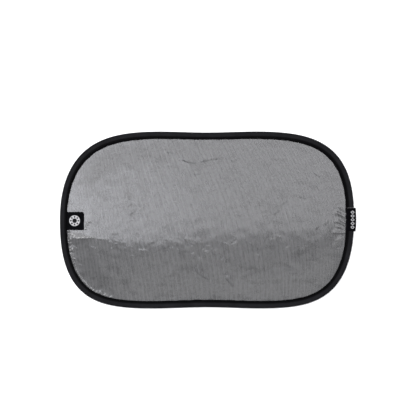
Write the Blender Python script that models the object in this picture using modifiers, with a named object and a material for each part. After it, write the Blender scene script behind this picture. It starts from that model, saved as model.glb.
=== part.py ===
"""A car side window sunshade lying flat: film and mesh in a sprung wire hoop, bound with sewn tape.

Lengths are in metres. Every shape is worked out about the hoop's centre, at half the rim's height.
A place near the rim is a distance along the rim's outermost line and an inset from that line.
"""

import math

import bmesh
import bpy
import numpy as np

MM = 0.001

# The rim seen from above: |x/a|^p + |y/b|^q = 1 in each quarter, with a shallow waist in each long side
SHADE_LENGTH = 499.4 * MM
SHADE_WIDTH = 302.2 * MM
TOP_RIGHT_POWERS = (4.71, 2.58)
TOP_LEFT_POWERS = (4.57, 2.21)
BOTTOM_LEFT_POWERS = (5.56, 2.42)
BOTTOM_RIGHT_POWERS = (5.43, 2.22)
TOP_WAIST = 2.6 * MM
BOTTOM_WAIST = 2.7 * MM
WAIST_REACH = 68.0 * MM

# Room left between neighbours
CLEARANCE = 0.3 * MM

# The wire and the sleeve that joins its ends, at the middle of the lower long side
WIRE_DIAMETER = 1.8 * MM
WIRE_END_GAP = 0.8 * MM
FERRULE_LENGTH = 12.0 * MM
FERRULE_WALL = 0.45 * MM

# The panel's two sheets
FILM_THICKNESS = 0.3 * MM
MESH_THICKNESS = 0.5 * MM
PANEL_TUCK = 7.1 * MM

# The folded tape: a roll over the wire, then a lip that the seam presses on the panel
BAND_WIDTH = 12.6 * MM
ROLL_HEIGHT = 5.0 * MM
ROLL_FLAT = 2.5 * MM
SEAM_INSET = 9.6 * MM
SEAM_WIDTH = 1.0 * MM
SEAM_WALL = 0.4 * MM
LIP_WALL = 0.85 * MM
LIP_ROUND = 0.5 * MM
TAPE_END_GAP = 0.6 * MM

# The square tab at the left, a ribbon folded double and sewn into the seam
TAB_LENGTH = 40.4 * MM
TAB_WIDTH = 30.6 * MM
TAB_OFFSET = -1.9 * MM
TAB_TUCK = 4.0 * MM
TAB_RIBBON = 0.25 * MM
TAB_LAYER_GAP = 0.1 * MM

# The ribbon folded round the rim at the right
WRAP_WIDTH = 39.6 * MM
WRAP_OFFSET = 0.6 * MM
WRAP_RIBBON = 0.3 * MM
WRAP_OVERHANG = 3.7 * MM
WRAP_END_DRAW = 1.0 * MM
WRAP_EDGE = 0.1 * MM
PATCH_BLEND = 2.5 * MM

# The panel's slack: one long ridge, sharp at the left and soft at the right
RIDGE_HEIGHT = 4.6 * MM
RIDGE_LEVEL = -27.0 * MM
RIDGE_TILT = 4.0 * MM
RIDGE_DIP = 11.0 * MM
RIDGE_DIP_X = -75.0 * MM
RIDGE_DIP_REACH = 70.0 * MM
RIDGE_SHARP = 4.0 * MM
RIDGE_SOFT = 30.0 * MM
RIM_FADE = 42.0 * MM

# The crease that runs along the ridge from the rim, just below the tab
CREASE_LENGTH = 52.0 * MM
CREASE_HEIGHT = 1.6 * MM
CREASE_SPREAD = 6.0 * MM

# Small gathers fanned along the wrapped ribbon
GATHER_COUNT = 5
GATHER_PITCH = 9.0 * MM
GATHER_DEPTH = 0.9 * MM
GATHER_SPREAD = 3.0 * MM
GATHER_REACH = 20.0 * MM
GATHER_FAN = math.radians(45)

# How finely the shapes are cut into flats
RIM_SAMPLES = 2400
RIM_STEPS = 92
PANEL_COLUMNS = 26
PANEL_ROWS = 22
COLUMN_CROWDING = 0.3
TAB_FOLD_SHARE = 0.12
WRAP_FOLD_SHARE = 0.4


def rim_level(x, y):
    """1 on the rim's outermost line and less inside it."""
    powers = np.where(
        (y >= 0)[..., None],
        np.where((x >= 0)[..., None], TOP_RIGHT_POWERS, TOP_LEFT_POWERS),
        np.where((x >= 0)[..., None], BOTTOM_RIGHT_POWERS, BOTTOM_LEFT_POWERS),
    )
    waist = np.where(y >= 0, TOP_WAIST, BOTTOM_WAIST) * np.exp(-((x / WAIST_REACH) ** 2))
    across = np.abs(2 * x / SHADE_LENGTH) ** powers[..., 0]
    along = np.abs(y / (SHADE_WIDTH / 2 - waist)) ** powers[..., 1]
    return across + along


def rim_samples():
    """Points, inward directions and running lengths along the rim's outermost line, from its right end."""
    angle = np.linspace(0.0, 2.0 * math.pi, RIM_SAMPLES, endpoint=False)
    inner = np.zeros(RIM_SAMPLES)
    outer = np.full(RIM_SAMPLES, SHADE_LENGTH)
    for _ in range(50):
        middle = (inner + outer) / 2
        inside = rim_level(middle * np.cos(angle), middle * np.sin(angle)) < 1
        inner = np.where(inside, middle, inner)
        outer = np.where(inside, outer, middle)
    points = np.column_stack([inner * np.cos(angle), inner * np.sin(angle)])
    forward = np.roll(points, -1, axis=0) - np.roll(points, 1, axis=0)
    forward /= np.linalg.norm(forward, axis=1)[:, None]
    inward = np.column_stack([-forward[:, 1], forward[:, 0]])
    steps = np.linalg.norm(np.roll(points, -1, axis=0) - points, axis=1)
    return points, inward, np.concatenate([[0.0], np.cumsum(steps)])


RIM_POINTS, RIM_INWARD, RIM_RUN = rim_samples()
RIM_LENGTH = RIM_RUN[-1]


def on_rim(distance, inset):
    """The point at a distance along the rim and an inset from its outermost line."""
    line = RIM_POINTS + inset * RIM_INWARD
    closed = np.vstack([line, line[:1]])
    return [float(np.interp(distance % RIM_LENGTH, RIM_RUN, closed[:, axis])) for axis in (0, 1)]


def distance_nearest(x, y):
    """How far along the rim the point nearest to (x, y) is."""
    return RIM_RUN[np.argmin(np.hypot(RIM_POINTS[:, 0] - x, RIM_POINTS[:, 1] - y))]


TAB_AT = distance_nearest(-SHADE_LENGTH / 2, TAB_OFFSET)
WRAP_AT = distance_nearest(SHADE_LENGTH / 2, WRAP_OFFSET)
FERRULE_AT = distance_nearest(0.0, -SHADE_WIDTH / 2)

# Heights and radii that follow from the sizes above
WIRE_INSET = ROLL_HEIGHT / 2
FERRULE_BORE = WIRE_DIAMETER / 2 + CLEARANCE
FERRULE_RADIUS = FERRULE_BORE + FERRULE_WALL
PANEL_THICKNESS = MESH_THICKNESS + CLEARANCE + FILM_THICKNESS
SLOT_HEIGHT = PANEL_THICKNESS + 2 * CLEARANCE
FILM_LEVEL = PANEL_THICKNESS / 2 - FILM_THICKNESS / 2
MESH_LEVEL = MESH_THICKNESS / 2 - PANEL_THICKNESS / 2
TAB_STACK = 2 * TAB_RIBBON + TAB_LAYER_GAP + CLEARANCE
WRAP_STACK = WRAP_RIBBON + CLEARANCE
PANEL_EDGE_INSET = BAND_WIDTH + CLEARANCE
BOTTOM_RIGHT_CORNER = distance_nearest(SHADE_LENGTH / 2, -SHADE_WIDTH / 2)
PANEL_CORNERS = (
    BOTTOM_RIGHT_CORNER - RIM_LENGTH,
    distance_nearest(SHADE_LENGTH / 2, SHADE_WIDTH / 2),
    distance_nearest(-SHADE_LENGTH / 2, SHADE_WIDTH / 2),
    distance_nearest(-SHADE_LENGTH / 2, -SHADE_WIDTH / 2),
    BOTTOM_RIGHT_CORNER,
)


def ease(t):
    """0 to 1 with level ends, for t from 0 to 1."""
    t = np.clip(t, 0.0, 1.0)
    return t * t * (3 - 2 * t)


def patch(distance, centre, width):
    """1 over a width of the rim about centre, easing to 0 just past each end."""
    away = np.abs((distance - centre + RIM_LENGTH / 2) % RIM_LENGTH - RIM_LENGTH / 2)
    return 1 - ease((away - width / 2) / PATCH_BLEND)


def inset_of(x, y):
    """How far inside the rim's outermost line a point of the panel lies."""
    nearest = np.hypot(RIM_POINTS[:, 0] - x, RIM_POINTS[:, 1] - y).argmin()
    return float((np.array([x, y]) - RIM_POINTS[nearest]) @ RIM_INWARD[nearest])


def ridge_crest(x):
    """The height on the plan of the line where the ridge's two slopes meet."""
    dip = RIDGE_DIP * math.exp(-(((x - RIDGE_DIP_X) / RIDGE_DIP_REACH) ** 2))
    return RIDGE_LEVEL + RIDGE_TILT * 2 * x / SHADE_LENGTH - dip


def ridge_relief(x, y):
    """The long ridge: two gentle slopes that meet on a line across the panel."""
    crest = ridge_crest(x)
    softness = RIDGE_SHARP + (RIDGE_SOFT - RIDGE_SHARP) * float(ease(x / SHADE_LENGTH + 0.4))
    edge = SHADE_WIDTH / 2 - PANEL_EDGE_INSET
    reach = edge - crest if y > crest else edge + crest
    away = math.hypot(y - crest, softness) - softness
    return RIDGE_HEIGHT * (1 - away / reach)


def crease_relief(x, y):
    """The short crease raised on the ridge's left end."""
    along = (x + SHADE_LENGTH / 2 - PANEL_EDGE_INSET) / CREASE_LENGTH
    across = (y - ridge_crest(x)) / CREASE_SPREAD
    return CREASE_HEIGHT * float(ease(8 * along) * (1 - ease(along))) * math.exp(-(across**2))


def gather_relief(x, y):
    """Valleys that fan out from the seam beside the wrapped ribbon."""
    depth = 0.0
    seam_x = SHADE_LENGTH / 2 - PANEL_EDGE_INSET
    for k in range(GATHER_COUNT):
        share = k / (GATHER_COUNT - 1)
        seam_y = WRAP_OFFSET + WRAP_WIDTH / 2 - (k + 1) * GATHER_PITCH
        turn = (1 - share) * GATHER_FAN
        along = (seam_x - x) * math.cos(turn) + (y - seam_y) * math.sin(turn)
        across = (y - seam_y) * math.cos(turn) - (seam_x - x) * math.sin(turn)
        run = along / GATHER_REACH
        depth += float(ease(6 * run) * (1 - ease(run))) * math.exp(-((across / GATHER_SPREAD) ** 2))
    return -GATHER_DEPTH * depth


def panel_relief(x, y):
    """How far the panel stands above its level in the seam."""
    inset = inset_of(x, y) - PANEL_EDGE_INSET
    if inset <= 0:
        return 0.0
    slack = float(ease(inset / RIM_FADE)) * ridge_relief(x, y)
    return slack + crease_relief(x, y) + gather_relief(x, y)


def new_material(name, colour, roughness, metallic=0.0, alpha=1.0):
    material = bpy.data.materials.new(name)
    material.use_nodes = True
    shader = material.node_tree.nodes["Principled BSDF"]
    shader.inputs["Base Color"].default_value = (*colour, 1.0)
    shader.inputs["Roughness"].default_value = roughness
    shader.inputs["Metallic"].default_value = metallic
    shader.inputs["Alpha"].default_value = alpha
    return material


def new_object(name, mesh, material, collection, parent):
    piece = bpy.data.objects.new(name, mesh)
    piece.data.materials.append(material)
    piece.parent = parent
    collection.objects.link(piece)
    return piece


def add_sheet(name, columns, rows, place, thickness, *look):
    """A grid whose corners run from -1 to 1, put where place(u, v) says and given a thickness."""
    grid = bmesh.new()
    bmesh.ops.create_grid(grid, x_segments=columns, y_segments=rows, size=1.0)
    for vert in grid.verts:
        vert.co = place(vert.co.x, vert.co.y)
    bmesh.ops.recalc_face_normals(grid, faces=grid.faces)
    mesh = bpy.data.meshes.new(name)
    grid.to_mesh(mesh)
    grid.free()
    mesh.shade_smooth()
    piece = new_object(name, mesh, *look)
    shell = piece.modifiers.new("Thickness", "SOLIDIFY")
    shell.thickness = thickness
    shell.offset = 0.0
    shell.use_even_offset = True
    return piece


def rim_stations():
    """Distances along the rim from the tape's joint: even steps, and both ends of each change of section."""
    marks = set(np.linspace(0.0, RIM_LENGTH, RIM_STEPS, endpoint=False))
    for centre, width in ((TAB_AT, TAB_WIDTH), (WRAP_AT, WRAP_WIDTH), (FERRULE_AT, FERRULE_LENGTH)):
        for side in (-1, 1):
            for reach in (width / 2, width / 2 + PATCH_BLEND):
                marks.add((centre + side * reach - WRAP_AT) % RIM_LENGTH)
    spaced = []
    for mark in sorted(marks):
        if not spaced or mark - spaced[-1] > PATCH_BLEND / 2:
            spaced.append(mark)
    return WRAP_AT + np.array(spaced)


def tape_side(roof, lift):
    """One side of the tape from the lip's edge to the start of the nose, as (inset, height) points."""
    slot = SLOT_HEIGHT / 2 + lift
    groove = slot + SEAM_WALL
    lip = slot + LIP_WALL
    flank_start = WIRE_INSET + ROLL_FLAT
    points = [
        (BAND_WIDTH, (slot + lip) / 2),
        (BAND_WIDTH - LIP_ROUND, lip),
        (SEAM_INSET + SEAM_WIDTH / 2, lip),
        (SEAM_INSET, groove),
    ]
    for t in (0.85, 0.5, 0.0):
        flank = flank_start + t * (SEAM_INSET - flank_start)
        points.append((flank, groove + max(roof - groove, 0.0) * math.sqrt(1 - t * t)))
    for turn in (90, 60, 30):
        reach = WIRE_INSET * math.sin(math.radians(90 - turn))
        points.append((WIRE_INSET - reach, roof * math.sin(math.radians(turn))))
    return points


def tape_section(distance):
    """The folded tape's closed outline across the rim at a distance along it, as (inset, height) points."""
    roof = ROLL_HEIGHT / 2 - WRAP_STACK * float(patch(distance, WRAP_AT, WRAP_WIDTH))
    lift = TAB_STACK * float(patch(distance, TAB_AT, TAB_WIDTH))
    joint = float(patch(distance, FERRULE_AT, FERRULE_LENGTH))
    snug = WIRE_DIAMETER / 2 + (FERRULE_RADIUS - WIRE_DIAMETER / 2) * joint + CLEARANCE
    channel = snug / math.cos(math.radians(22.5))
    mouth = WIRE_INSET + 1.25 * channel
    slot_top = SLOT_HEIGHT / 2 + lift
    upper = tape_side(roof, lift)
    lower = [(inset, -height) for inset, height in reversed(tape_side(roof, 0.0))]
    inside = [(BAND_WIDTH, -SLOT_HEIGHT / 2), (mouth, -SLOT_HEIGHT / 2)]
    for turn in (270, 225, 180, 135, 90):
        angle = math.radians(turn)
        inside.append((WIRE_INSET + channel * math.cos(angle), channel * math.sin(angle)))
    inside += [(mouth, SLOT_HEIGHT / 2), (BAND_WIDTH - TAB_TUCK - CLEARANCE, slot_top), (BAND_WIDTH, slot_top)]
    return upper + [(0.0, 0.0)] + lower + inside


def add_binding(stations, *look):
    """The tape, lofted between sections that change at the tab, the ribbon and the wire's joint."""
    gap = TAPE_END_GAP / 2
    ends = [stations[0] + gap, *stations[1:], stations[0] + RIM_LENGTH - gap]
    loft = bmesh.new()
    rings = []
    for distance in ends:
        section = tape_section(distance)
        places = [on_rim(distance, inset) for inset, _ in section]
        rings.append([loft.verts.new((*place, height)) for place, (_, height) in zip(places, section)])
    count = len(rings[0])
    for ring, after in zip(rings, rings[1:]):
        for k in range(count):
            far = (k + 1) % count
            loft.faces.new((ring[k], ring[far], after[far], after[k]))
    loft.faces.new(rings[0])
    loft.faces.new(reversed(rings[-1]))
    bmesh.ops.recalc_face_normals(loft, faces=loft.faces)
    mesh = bpy.data.meshes.new("edge_binding")
    loft.to_mesh(mesh)
    loft.free()
    mesh.shade_smooth()
    mesh.set_sharp_from_angle(angle=math.radians(50))
    return new_object("edge_binding", mesh, *look)


def add_wire(stations, *look):
    """The hoop, from one side of its joint all the way round to the other."""
    start = FERRULE_AT + WIRE_END_GAP / 2
    length = RIM_LENGTH - WIRE_END_GAP
    runs = np.sort((stations - start) % RIM_LENGTH)
    runs = runs[(runs > PATCH_BLEND) & (runs < length - PATCH_BLEND)]
    runs = np.concatenate([[0.0], runs, [length]])
    path = bpy.data.curves.new("spring_wire", "CURVE")
    path.dimensions = "3D"
    path.bevel_depth = WIRE_DIAMETER / 2
    path.bevel_resolution = 2
    path.use_fill_caps = True
    spline = path.splines.new("POLY")
    spline.points.add(len(runs) - 1)
    for point, run in zip(spline.points, runs):
        point.co = (*on_rim(start + run, WIRE_INSET), 0.0, 1.0)
    return new_object("spring_wire", path, *look)


def add_ferrule(*look):
    """The crimped sleeve: an open tube over both ends of the wire."""
    tube = bmesh.new()
    bmesh.ops.create_cone(
        tube,
        cap_ends=False,
        segments=20,
        radius1=FERRULE_BORE,
        radius2=FERRULE_BORE,
        depth=FERRULE_LENGTH,
    )
    mesh = bpy.data.meshes.new("wire_ferrule")
    tube.to_mesh(mesh)
    tube.free()
    mesh.shade_smooth()
    piece = new_object("wire_ferrule", mesh, *look)
    piece.location = (*on_rim(FERRULE_AT, WIRE_INSET), 0.0)
    piece.rotation_euler = (0.0, math.pi / 2, 0.0)
    wall = piece.modifiers.new("Wall", "SOLIDIFY")
    wall.thickness = FERRULE_WALL
    wall.offset = 1.0
    wall.use_even_offset = True
    return piece


def panel_place(u, v):
    """Where a corner of the panel's square grid goes: its lines become rings, the outermost one in the seam."""
    tucked = max(abs(u), abs(v)) > 1 - 1e-6
    if not tucked:
        u /= 1 - 2 / PANEL_COLUMNS
        v /= 1 - 2 / PANEL_ROWS
    u *= 1 + COLUMN_CROWDING * (1 - u * u)
    out = max(abs(u), abs(v), 1e-9)
    across, along = u / out, v / out
    if abs(u) >= abs(v):
        turn = along if across > 0 else 4 - along
    else:
        turn = 2 - across if along > 0 else 6 + across
    distance = float(np.interp(turn, (-1, 1, 3, 5, 7), PANEL_CORNERS))
    if tucked:
        return on_rim(distance, BAND_WIDTH - PANEL_TUCK)
    x, y = on_rim(distance, PANEL_EDGE_INSET)
    return x * out, y * out


def film_place(u, v):
    x, y = panel_place(u, v)
    return x, y, FILM_LEVEL + panel_relief(x, y)


def mesh_place(u, v):
    x, y = panel_place(u, v)
    return x, y, MESH_LEVEL + panel_relief(x, y)


def folded_path(u, fold_share):
    """Along a ribbon folded double: the leaf's share (0 at the fold, 1 at its end), and the turn round the fold."""
    if abs(u) <= fold_share:
        return 0.0, u / fold_share * math.pi / 2
    return (abs(u) - fold_share) / (1 - fold_share), math.copysign(math.pi / 2, u)


def tab_place(u, v):
    """The tab: one leaf on the film, the other back over it, both ends in the seam."""
    leaf, turn = folded_path(u, TAB_FOLD_SHARE)
    bend = (TAB_RIBBON + TAB_LAYER_GAP) / 2
    fold_x = TAB_LENGTH - bend - TAB_RIBBON / 2
    x = fold_x - leaf * (fold_x - BAND_WIDTH + TAB_TUCK) + bend * math.cos(turn) - SHADE_LENGTH / 2
    y = TAB_OFFSET + v * TAB_WIDTH / 2
    level = FILM_LEVEL + FILM_THICKNESS / 2 + CLEARANCE + TAB_RIBBON / 2 + bend
    return x, y, level + bend * math.sin(turn) + panel_relief(x, y)


def wrap_place(u, v):
    """The wrapped ribbon: a leaf above and below the rim, and a fold that stands out past it."""
    leaf, turn = folded_path(u, WRAP_FOLD_SHARE)
    overhang = WRAP_OVERHANG - WRAP_RIBBON / 2 - WRAP_END_DRAW * v * v
    inset = leaf * (BAND_WIDTH - WRAP_EDGE) - overhang * math.cos(turn)
    height = (ROLL_HEIGHT - WRAP_RIBBON) / 2 * math.sin(turn)
    return (*on_rim(WRAP_AT + v * WRAP_WIDTH / 2, inset), height)


def main():
    for old in list(bpy.data.objects):
        bpy.data.objects.remove(old, do_unlink=True)
    shade = bpy.data.collections.new("car_window_sunshade")
    bpy.context.scene.collection.children.link(shade)

    left, low = RIM_POINTS.min(axis=0)
    high = RIM_POINTS[:, 1].max()
    right = on_rim(WRAP_AT, -WRAP_OVERHANG)[0]
    middle = bpy.data.objects.new("middle_of_the_rim", None)
    middle.location = (-(left + right) / 2, -(low + high) / 2, ROLL_HEIGHT / 2)
    shade.objects.link(middle)

    tape = new_material("black_tape", (0.012, 0.012, 0.014), 0.75)
    film = new_material("grey_film", (0.17, 0.17, 0.18), 0.25, alpha=0.85)
    netting = new_material("grey_mesh", (0.16, 0.16, 0.16), 0.8)
    ribbon = new_material("black_ribbon", (0.014, 0.014, 0.015), 0.55)
    steel = new_material("spring_steel", (0.5, 0.5, 0.52), 0.35, metallic=1.0)
    sleeve = new_material("crimped_sleeve", (0.62, 0.62, 0.63), 0.4, metallic=1.0)

    stations = rim_stations()
    add_binding(stations, tape, shade, middle)
    add_wire(stations, steel, shade, middle)
    add_ferrule(sleeve, shade, middle)
    grid = (PANEL_COLUMNS, PANEL_ROWS)
    add_sheet("cling_film", *grid, film_place, FILM_THICKNESS, film, shade, middle)
    add_sheet("mesh_fabric", *grid, mesh_place, MESH_THICKNESS, netting, shade, middle)
    add_sheet("side_label", 24, 6, tab_place, TAB_RIBBON, ribbon, shade, middle)
    add_sheet("edge_label", 16, 6, wrap_place, WRAP_RIBBON, ribbon, shade, middle)


main()
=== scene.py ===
# %% [markdown]
# # A car window sunshade
#
# The real thing is a sheet of tinted film that clings to a car's side window. A fine mesh backs the film,
# and a hoop of spring wire inside a sewn black tape holds both nearly flat. Two small black labels are
# caught in the tape.
#
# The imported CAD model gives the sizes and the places. Its wire and sleeve keep their shapes here. Every
# soft piece is made again on the same lines, with the folds, threads and slack that a solid model leaves
# out.

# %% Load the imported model
import math
from collections import namedtuple

import bmesh
import bpy
import numpy as np
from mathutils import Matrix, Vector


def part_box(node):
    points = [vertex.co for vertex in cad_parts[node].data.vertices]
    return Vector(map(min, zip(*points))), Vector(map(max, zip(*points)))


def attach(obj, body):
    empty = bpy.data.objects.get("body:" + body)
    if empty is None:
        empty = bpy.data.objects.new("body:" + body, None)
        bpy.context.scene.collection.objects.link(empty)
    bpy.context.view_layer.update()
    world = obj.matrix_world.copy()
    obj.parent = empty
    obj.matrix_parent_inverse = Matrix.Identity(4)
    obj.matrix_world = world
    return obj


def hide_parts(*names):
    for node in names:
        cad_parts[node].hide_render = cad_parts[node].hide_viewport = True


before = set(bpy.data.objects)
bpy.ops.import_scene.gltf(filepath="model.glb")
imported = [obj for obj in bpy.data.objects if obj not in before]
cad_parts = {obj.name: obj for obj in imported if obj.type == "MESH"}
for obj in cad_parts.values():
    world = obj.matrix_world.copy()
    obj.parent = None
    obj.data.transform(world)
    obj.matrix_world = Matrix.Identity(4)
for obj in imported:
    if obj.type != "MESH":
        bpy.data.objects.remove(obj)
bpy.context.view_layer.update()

MM = 0.001
print("CAD nodes:", ", ".join(sorted(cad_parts)))

# %% [markdown]
# ## The rim
#
# Everything is placed by the hoop. Seen from above it is a rounded rectangle whose four corners are not
# alike, and whose long sides pull in a little where the sheet is tight. It could be traced point by point.
# A superellipse in each quarter needs only two powers a corner, and gives a place for any distance along
# the rim and any inset from it.

# %% The rim's sizes, as the CAD model has them
SHADE_LENGTH = 499.4 * MM
SHADE_WIDTH = 302.2 * MM
TOP_RIGHT_POWERS = (4.71, 2.58)
TOP_LEFT_POWERS = (4.57, 2.21)
BOTTOM_LEFT_POWERS = (5.56, 2.42)
BOTTOM_RIGHT_POWERS = (5.43, 2.22)
TOP_WAIST = 2.6 * MM
BOTTOM_WAIST = 2.7 * MM
WAIST_REACH = 68.0 * MM
RIM_SAMPLES = 2400
HALVINGS = 50
POINTS_AT_ONCE = 4000


# %% Walk round the rim
def rim_level(x, y):
    """1 on the rim's outermost line and less inside it."""
    powers = np.where(
        (y >= 0)[..., None],
        np.where((x >= 0)[..., None], TOP_RIGHT_POWERS, TOP_LEFT_POWERS),
        np.where((x >= 0)[..., None], BOTTOM_RIGHT_POWERS, BOTTOM_LEFT_POWERS),
    )
    waist = np.where(y >= 0, TOP_WAIST, BOTTOM_WAIST) * np.exp(-((x / WAIST_REACH) ** 2))
    across = np.abs(2 * x / SHADE_LENGTH) ** powers[..., 0]
    return across + np.abs(y / (SHADE_WIDTH / 2 - waist)) ** powers[..., 1]


def rim_samples():
    """Points, inward directions and running lengths along the rim's outermost line, from its right end."""
    angle = np.linspace(0.0, 2.0 * math.pi, RIM_SAMPLES, endpoint=False)
    inner = np.zeros(RIM_SAMPLES)
    outer = np.full(RIM_SAMPLES, SHADE_LENGTH)
    for _ in range(HALVINGS):
        middle = (inner + outer) / 2
        inside = rim_level(middle * np.cos(angle), middle * np.sin(angle)) < 1
        inner = np.where(inside, middle, inner)
        outer = np.where(inside, outer, middle)
    points = np.column_stack([inner * np.cos(angle), inner * np.sin(angle)])
    forward = np.roll(points, -1, axis=0) - np.roll(points, 1, axis=0)
    forward /= np.linalg.norm(forward, axis=1)[:, None]
    inward = np.column_stack([-forward[:, 1], forward[:, 0]])
    steps = np.linalg.norm(np.roll(points, -1, axis=0) - points, axis=1)
    return points, inward, np.concatenate([[0.0], np.cumsum(steps)])


RIM_POINTS, RIM_INWARD, RIM_RUN = rim_samples()
RIM_LENGTH = RIM_RUN[-1]


def on_rim(distance, inset):
    """Points at distances along the rim and insets from its outermost line."""
    distance = np.asarray(distance) % RIM_LENGTH
    line = np.vstack([RIM_POINTS, RIM_POINTS[:1]])
    inward = np.vstack([RIM_INWARD, RIM_INWARD[:1]])
    x = np.interp(distance, RIM_RUN, line[:, 0]) + inset * np.interp(distance, RIM_RUN, inward[:, 0])
    y = np.interp(distance, RIM_RUN, line[:, 1]) + inset * np.interp(distance, RIM_RUN, inward[:, 1])
    return x, y


def distance_nearest(x, y):
    """How far along the rim the point nearest to (x, y) is."""
    return RIM_RUN[np.argmin(np.hypot(RIM_POINTS[:, 0] - x, RIM_POINTS[:, 1] - y))]


def rim_place(x, y):
    """How far inside the rim's outermost line each point lies, and how far along the rim."""
    inset, distance = np.empty((2, len(x)))
    for part in np.array_split(np.arange(len(x)), len(x) // POINTS_AT_ONCE + 1):
        away = np.hypot(RIM_POINTS[:, 0] - x[part, None], RIM_POINTS[:, 1] - y[part, None])
        nearest = away.argmin(axis=1)
        step = np.column_stack([x[part], y[part]]) - RIM_POINTS[nearest]
        inset[part] = (step * RIM_INWARD[nearest]).sum(axis=1)
        distance[part] = RIM_RUN[nearest]
    return inset, distance


print(f"The rim is {RIM_LENGTH / MM:.0f} mm round")

# %% [markdown]
# ## The layers
#
# The shade is a stack of thin layers: the mesh, the film, the tape on both faces, and the labels. They
# could touch, as the real ones do, but faces at one height fight over which of them is seen. So each layer
# has its own thickness and level, and a clearance of a few tenths of a millimetre from the next.

# %% Widths and heights of the layers, close to the CAD model's
CLEARANCE = 0.3 * MM
WIRE_DIAMETER = 1.8 * MM
FERRULE_LENGTH = 12.0 * MM
FERRULE_WALL = 0.45 * MM
FILM_THICKNESS = 0.3 * MM
MESH_THICKNESS = 0.5 * MM
PANEL_TUCK = 7.1 * MM
SLACK_TUCK = 0.7 * MM
BAND_WIDTH = 12.6 * MM
ROLL_HEIGHT = 5.0 * MM
SEAM_INSET = 9.6 * MM
SEAM_WIDTH = 1.0 * MM
SEAM_WALL = 0.4 * MM
LIP_WALL = 0.85 * MM
LIP_ROUND = 0.5 * MM
TAPE_END_GAP = 0.6 * MM
TAB_LENGTH = 41.4 * MM
TAB_WIDTH = 30.9 * MM
TAB_OFFSET = -1.9 * MM
TAB_TUCK = 4.0 * MM
TAB_RIBBON = 0.25 * MM
TAB_LAYER_GAP = 0.1 * MM
WRAP_WIDTH = 39.6 * MM
WRAP_OFFSET = 0.6 * MM
WRAP_RIBBON = 0.3 * MM
WRAP_OVERHANG = 3.7 * MM
WRAP_END_DRAW = 0.7 * MM
WRAP_EDGE = 0.1 * MM
PATCH_BLEND = 2.5 * MM

TAB_AT = distance_nearest(-SHADE_LENGTH / 2, TAB_OFFSET)
WRAP_AT = distance_nearest(SHADE_LENGTH / 2, WRAP_OFFSET)
FERRULE_AT = distance_nearest(0.0, -SHADE_WIDTH / 2)
WIRE_INSET = ROLL_HEIGHT / 2
FERRULE_RADIUS = WIRE_DIAMETER / 2 + CLEARANCE + FERRULE_WALL
PANEL_THICKNESS = MESH_THICKNESS + CLEARANCE + FILM_THICKNESS
SLOT_HEIGHT = PANEL_THICKNESS + 2 * CLEARANCE
FILM_LEVEL = PANEL_THICKNESS / 2 - FILM_THICKNESS / 2
MESH_LEVEL = MESH_THICKNESS / 2 - PANEL_THICKNESS / 2
TAB_STACK = 2 * TAB_RIBBON + TAB_LAYER_GAP + CLEARANCE
WRAP_STACK = WRAP_RIBBON + CLEARANCE
PANEL_EDGE_INSET = BAND_WIDTH - SLACK_TUCK

# The hoop's centre in the frame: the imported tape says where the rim's left and lower ends are
tape_low, tape_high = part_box("edge_binding")
HOOP_CENTRE = np.array(
    [tape_low.x - RIM_POINTS[:, 0].min(), tape_low.y - RIM_POINTS[:, 1].min(), ROLL_HEIGHT / 2]
)
print("The hoop's centre is at", [round(value / MM, 2) for value in HOOP_CENTRE], "mm")


# %% Small helpers for curves and places
WANDER_WAVES = 6
WANDER_PEAK = 3.5


def ease(t):
    """0 to 1 with level ends, for t from 0 to 1."""
    t = np.clip(t, 0.0, 1.0)
    return t * t * (3 - 2 * t)


def rim_gap(distance, centre):
    """How far each distance is from a place on the rim, the shorter way round."""
    return np.abs((distance - centre + RIM_LENGTH / 2) % RIM_LENGTH - RIM_LENGTH / 2)


def patch(distance, centre, width):
    """1 over a width of the rim about centre, easing to 0 just past each end."""
    return 1 - ease((rim_gap(distance, centre) - width / 2) / PATCH_BLEND)


def wander(distance, waves, seed):
    """A slow uneven wave round the rim, from about -1 to 1, that meets itself."""
    dice = np.random.default_rng(seed)
    total = np.zeros_like(distance)
    for _ in range(WANDER_WAVES):
        turns = dice.integers(waves // 2, waves * 2)
        total += np.sin(2 * math.pi * (turns * distance / RIM_LENGTH + dice.random()))
    return total / WANDER_PEAK


# %% [markdown]
# ## How wide the tape is
#
# Tape that is fed through the machine by hand is never sewn at one width round four corners. One value
# would do for the part, but from above the uneven dark border is the first thing seen. So a width is set at
# each corner and in the middle of each side, the widths between them are interpolated, and a small wander
# is added.

# %% The tape's widths round the rim
RIGHT_WIDTH = 13.7 * MM
TOP_RIGHT_WIDTH = 14.1 * MM
TOP_WIDTH = 12.4 * MM
TOP_LEFT_WIDTH = 13.9 * MM
LEFT_WIDTH = 12.1 * MM
BOTTOM_LEFT_WIDTH = 12.5 * MM
BOTTOM_WIDTH = 13.0 * MM
BOTTOM_RIGHT_WIDTH = 12.9 * MM
LIP_WANDER = 0.25 * MM
TOP_MIDDLE = distance_nearest(0.0, SHADE_WIDTH / 2)
BOTTOM_RIGHT_CORNER = distance_nearest(SHADE_LENGTH / 2, -SHADE_WIDTH / 2)
PANEL_CORNERS = (
    BOTTOM_RIGHT_CORNER - RIM_LENGTH,
    distance_nearest(SHADE_LENGTH / 2, SHADE_WIDTH / 2),
    distance_nearest(-SHADE_LENGTH / 2, SHADE_WIDTH / 2),
    distance_nearest(-SHADE_LENGTH / 2, -SHADE_WIDTH / 2),
    BOTTOM_RIGHT_CORNER,
)


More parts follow.
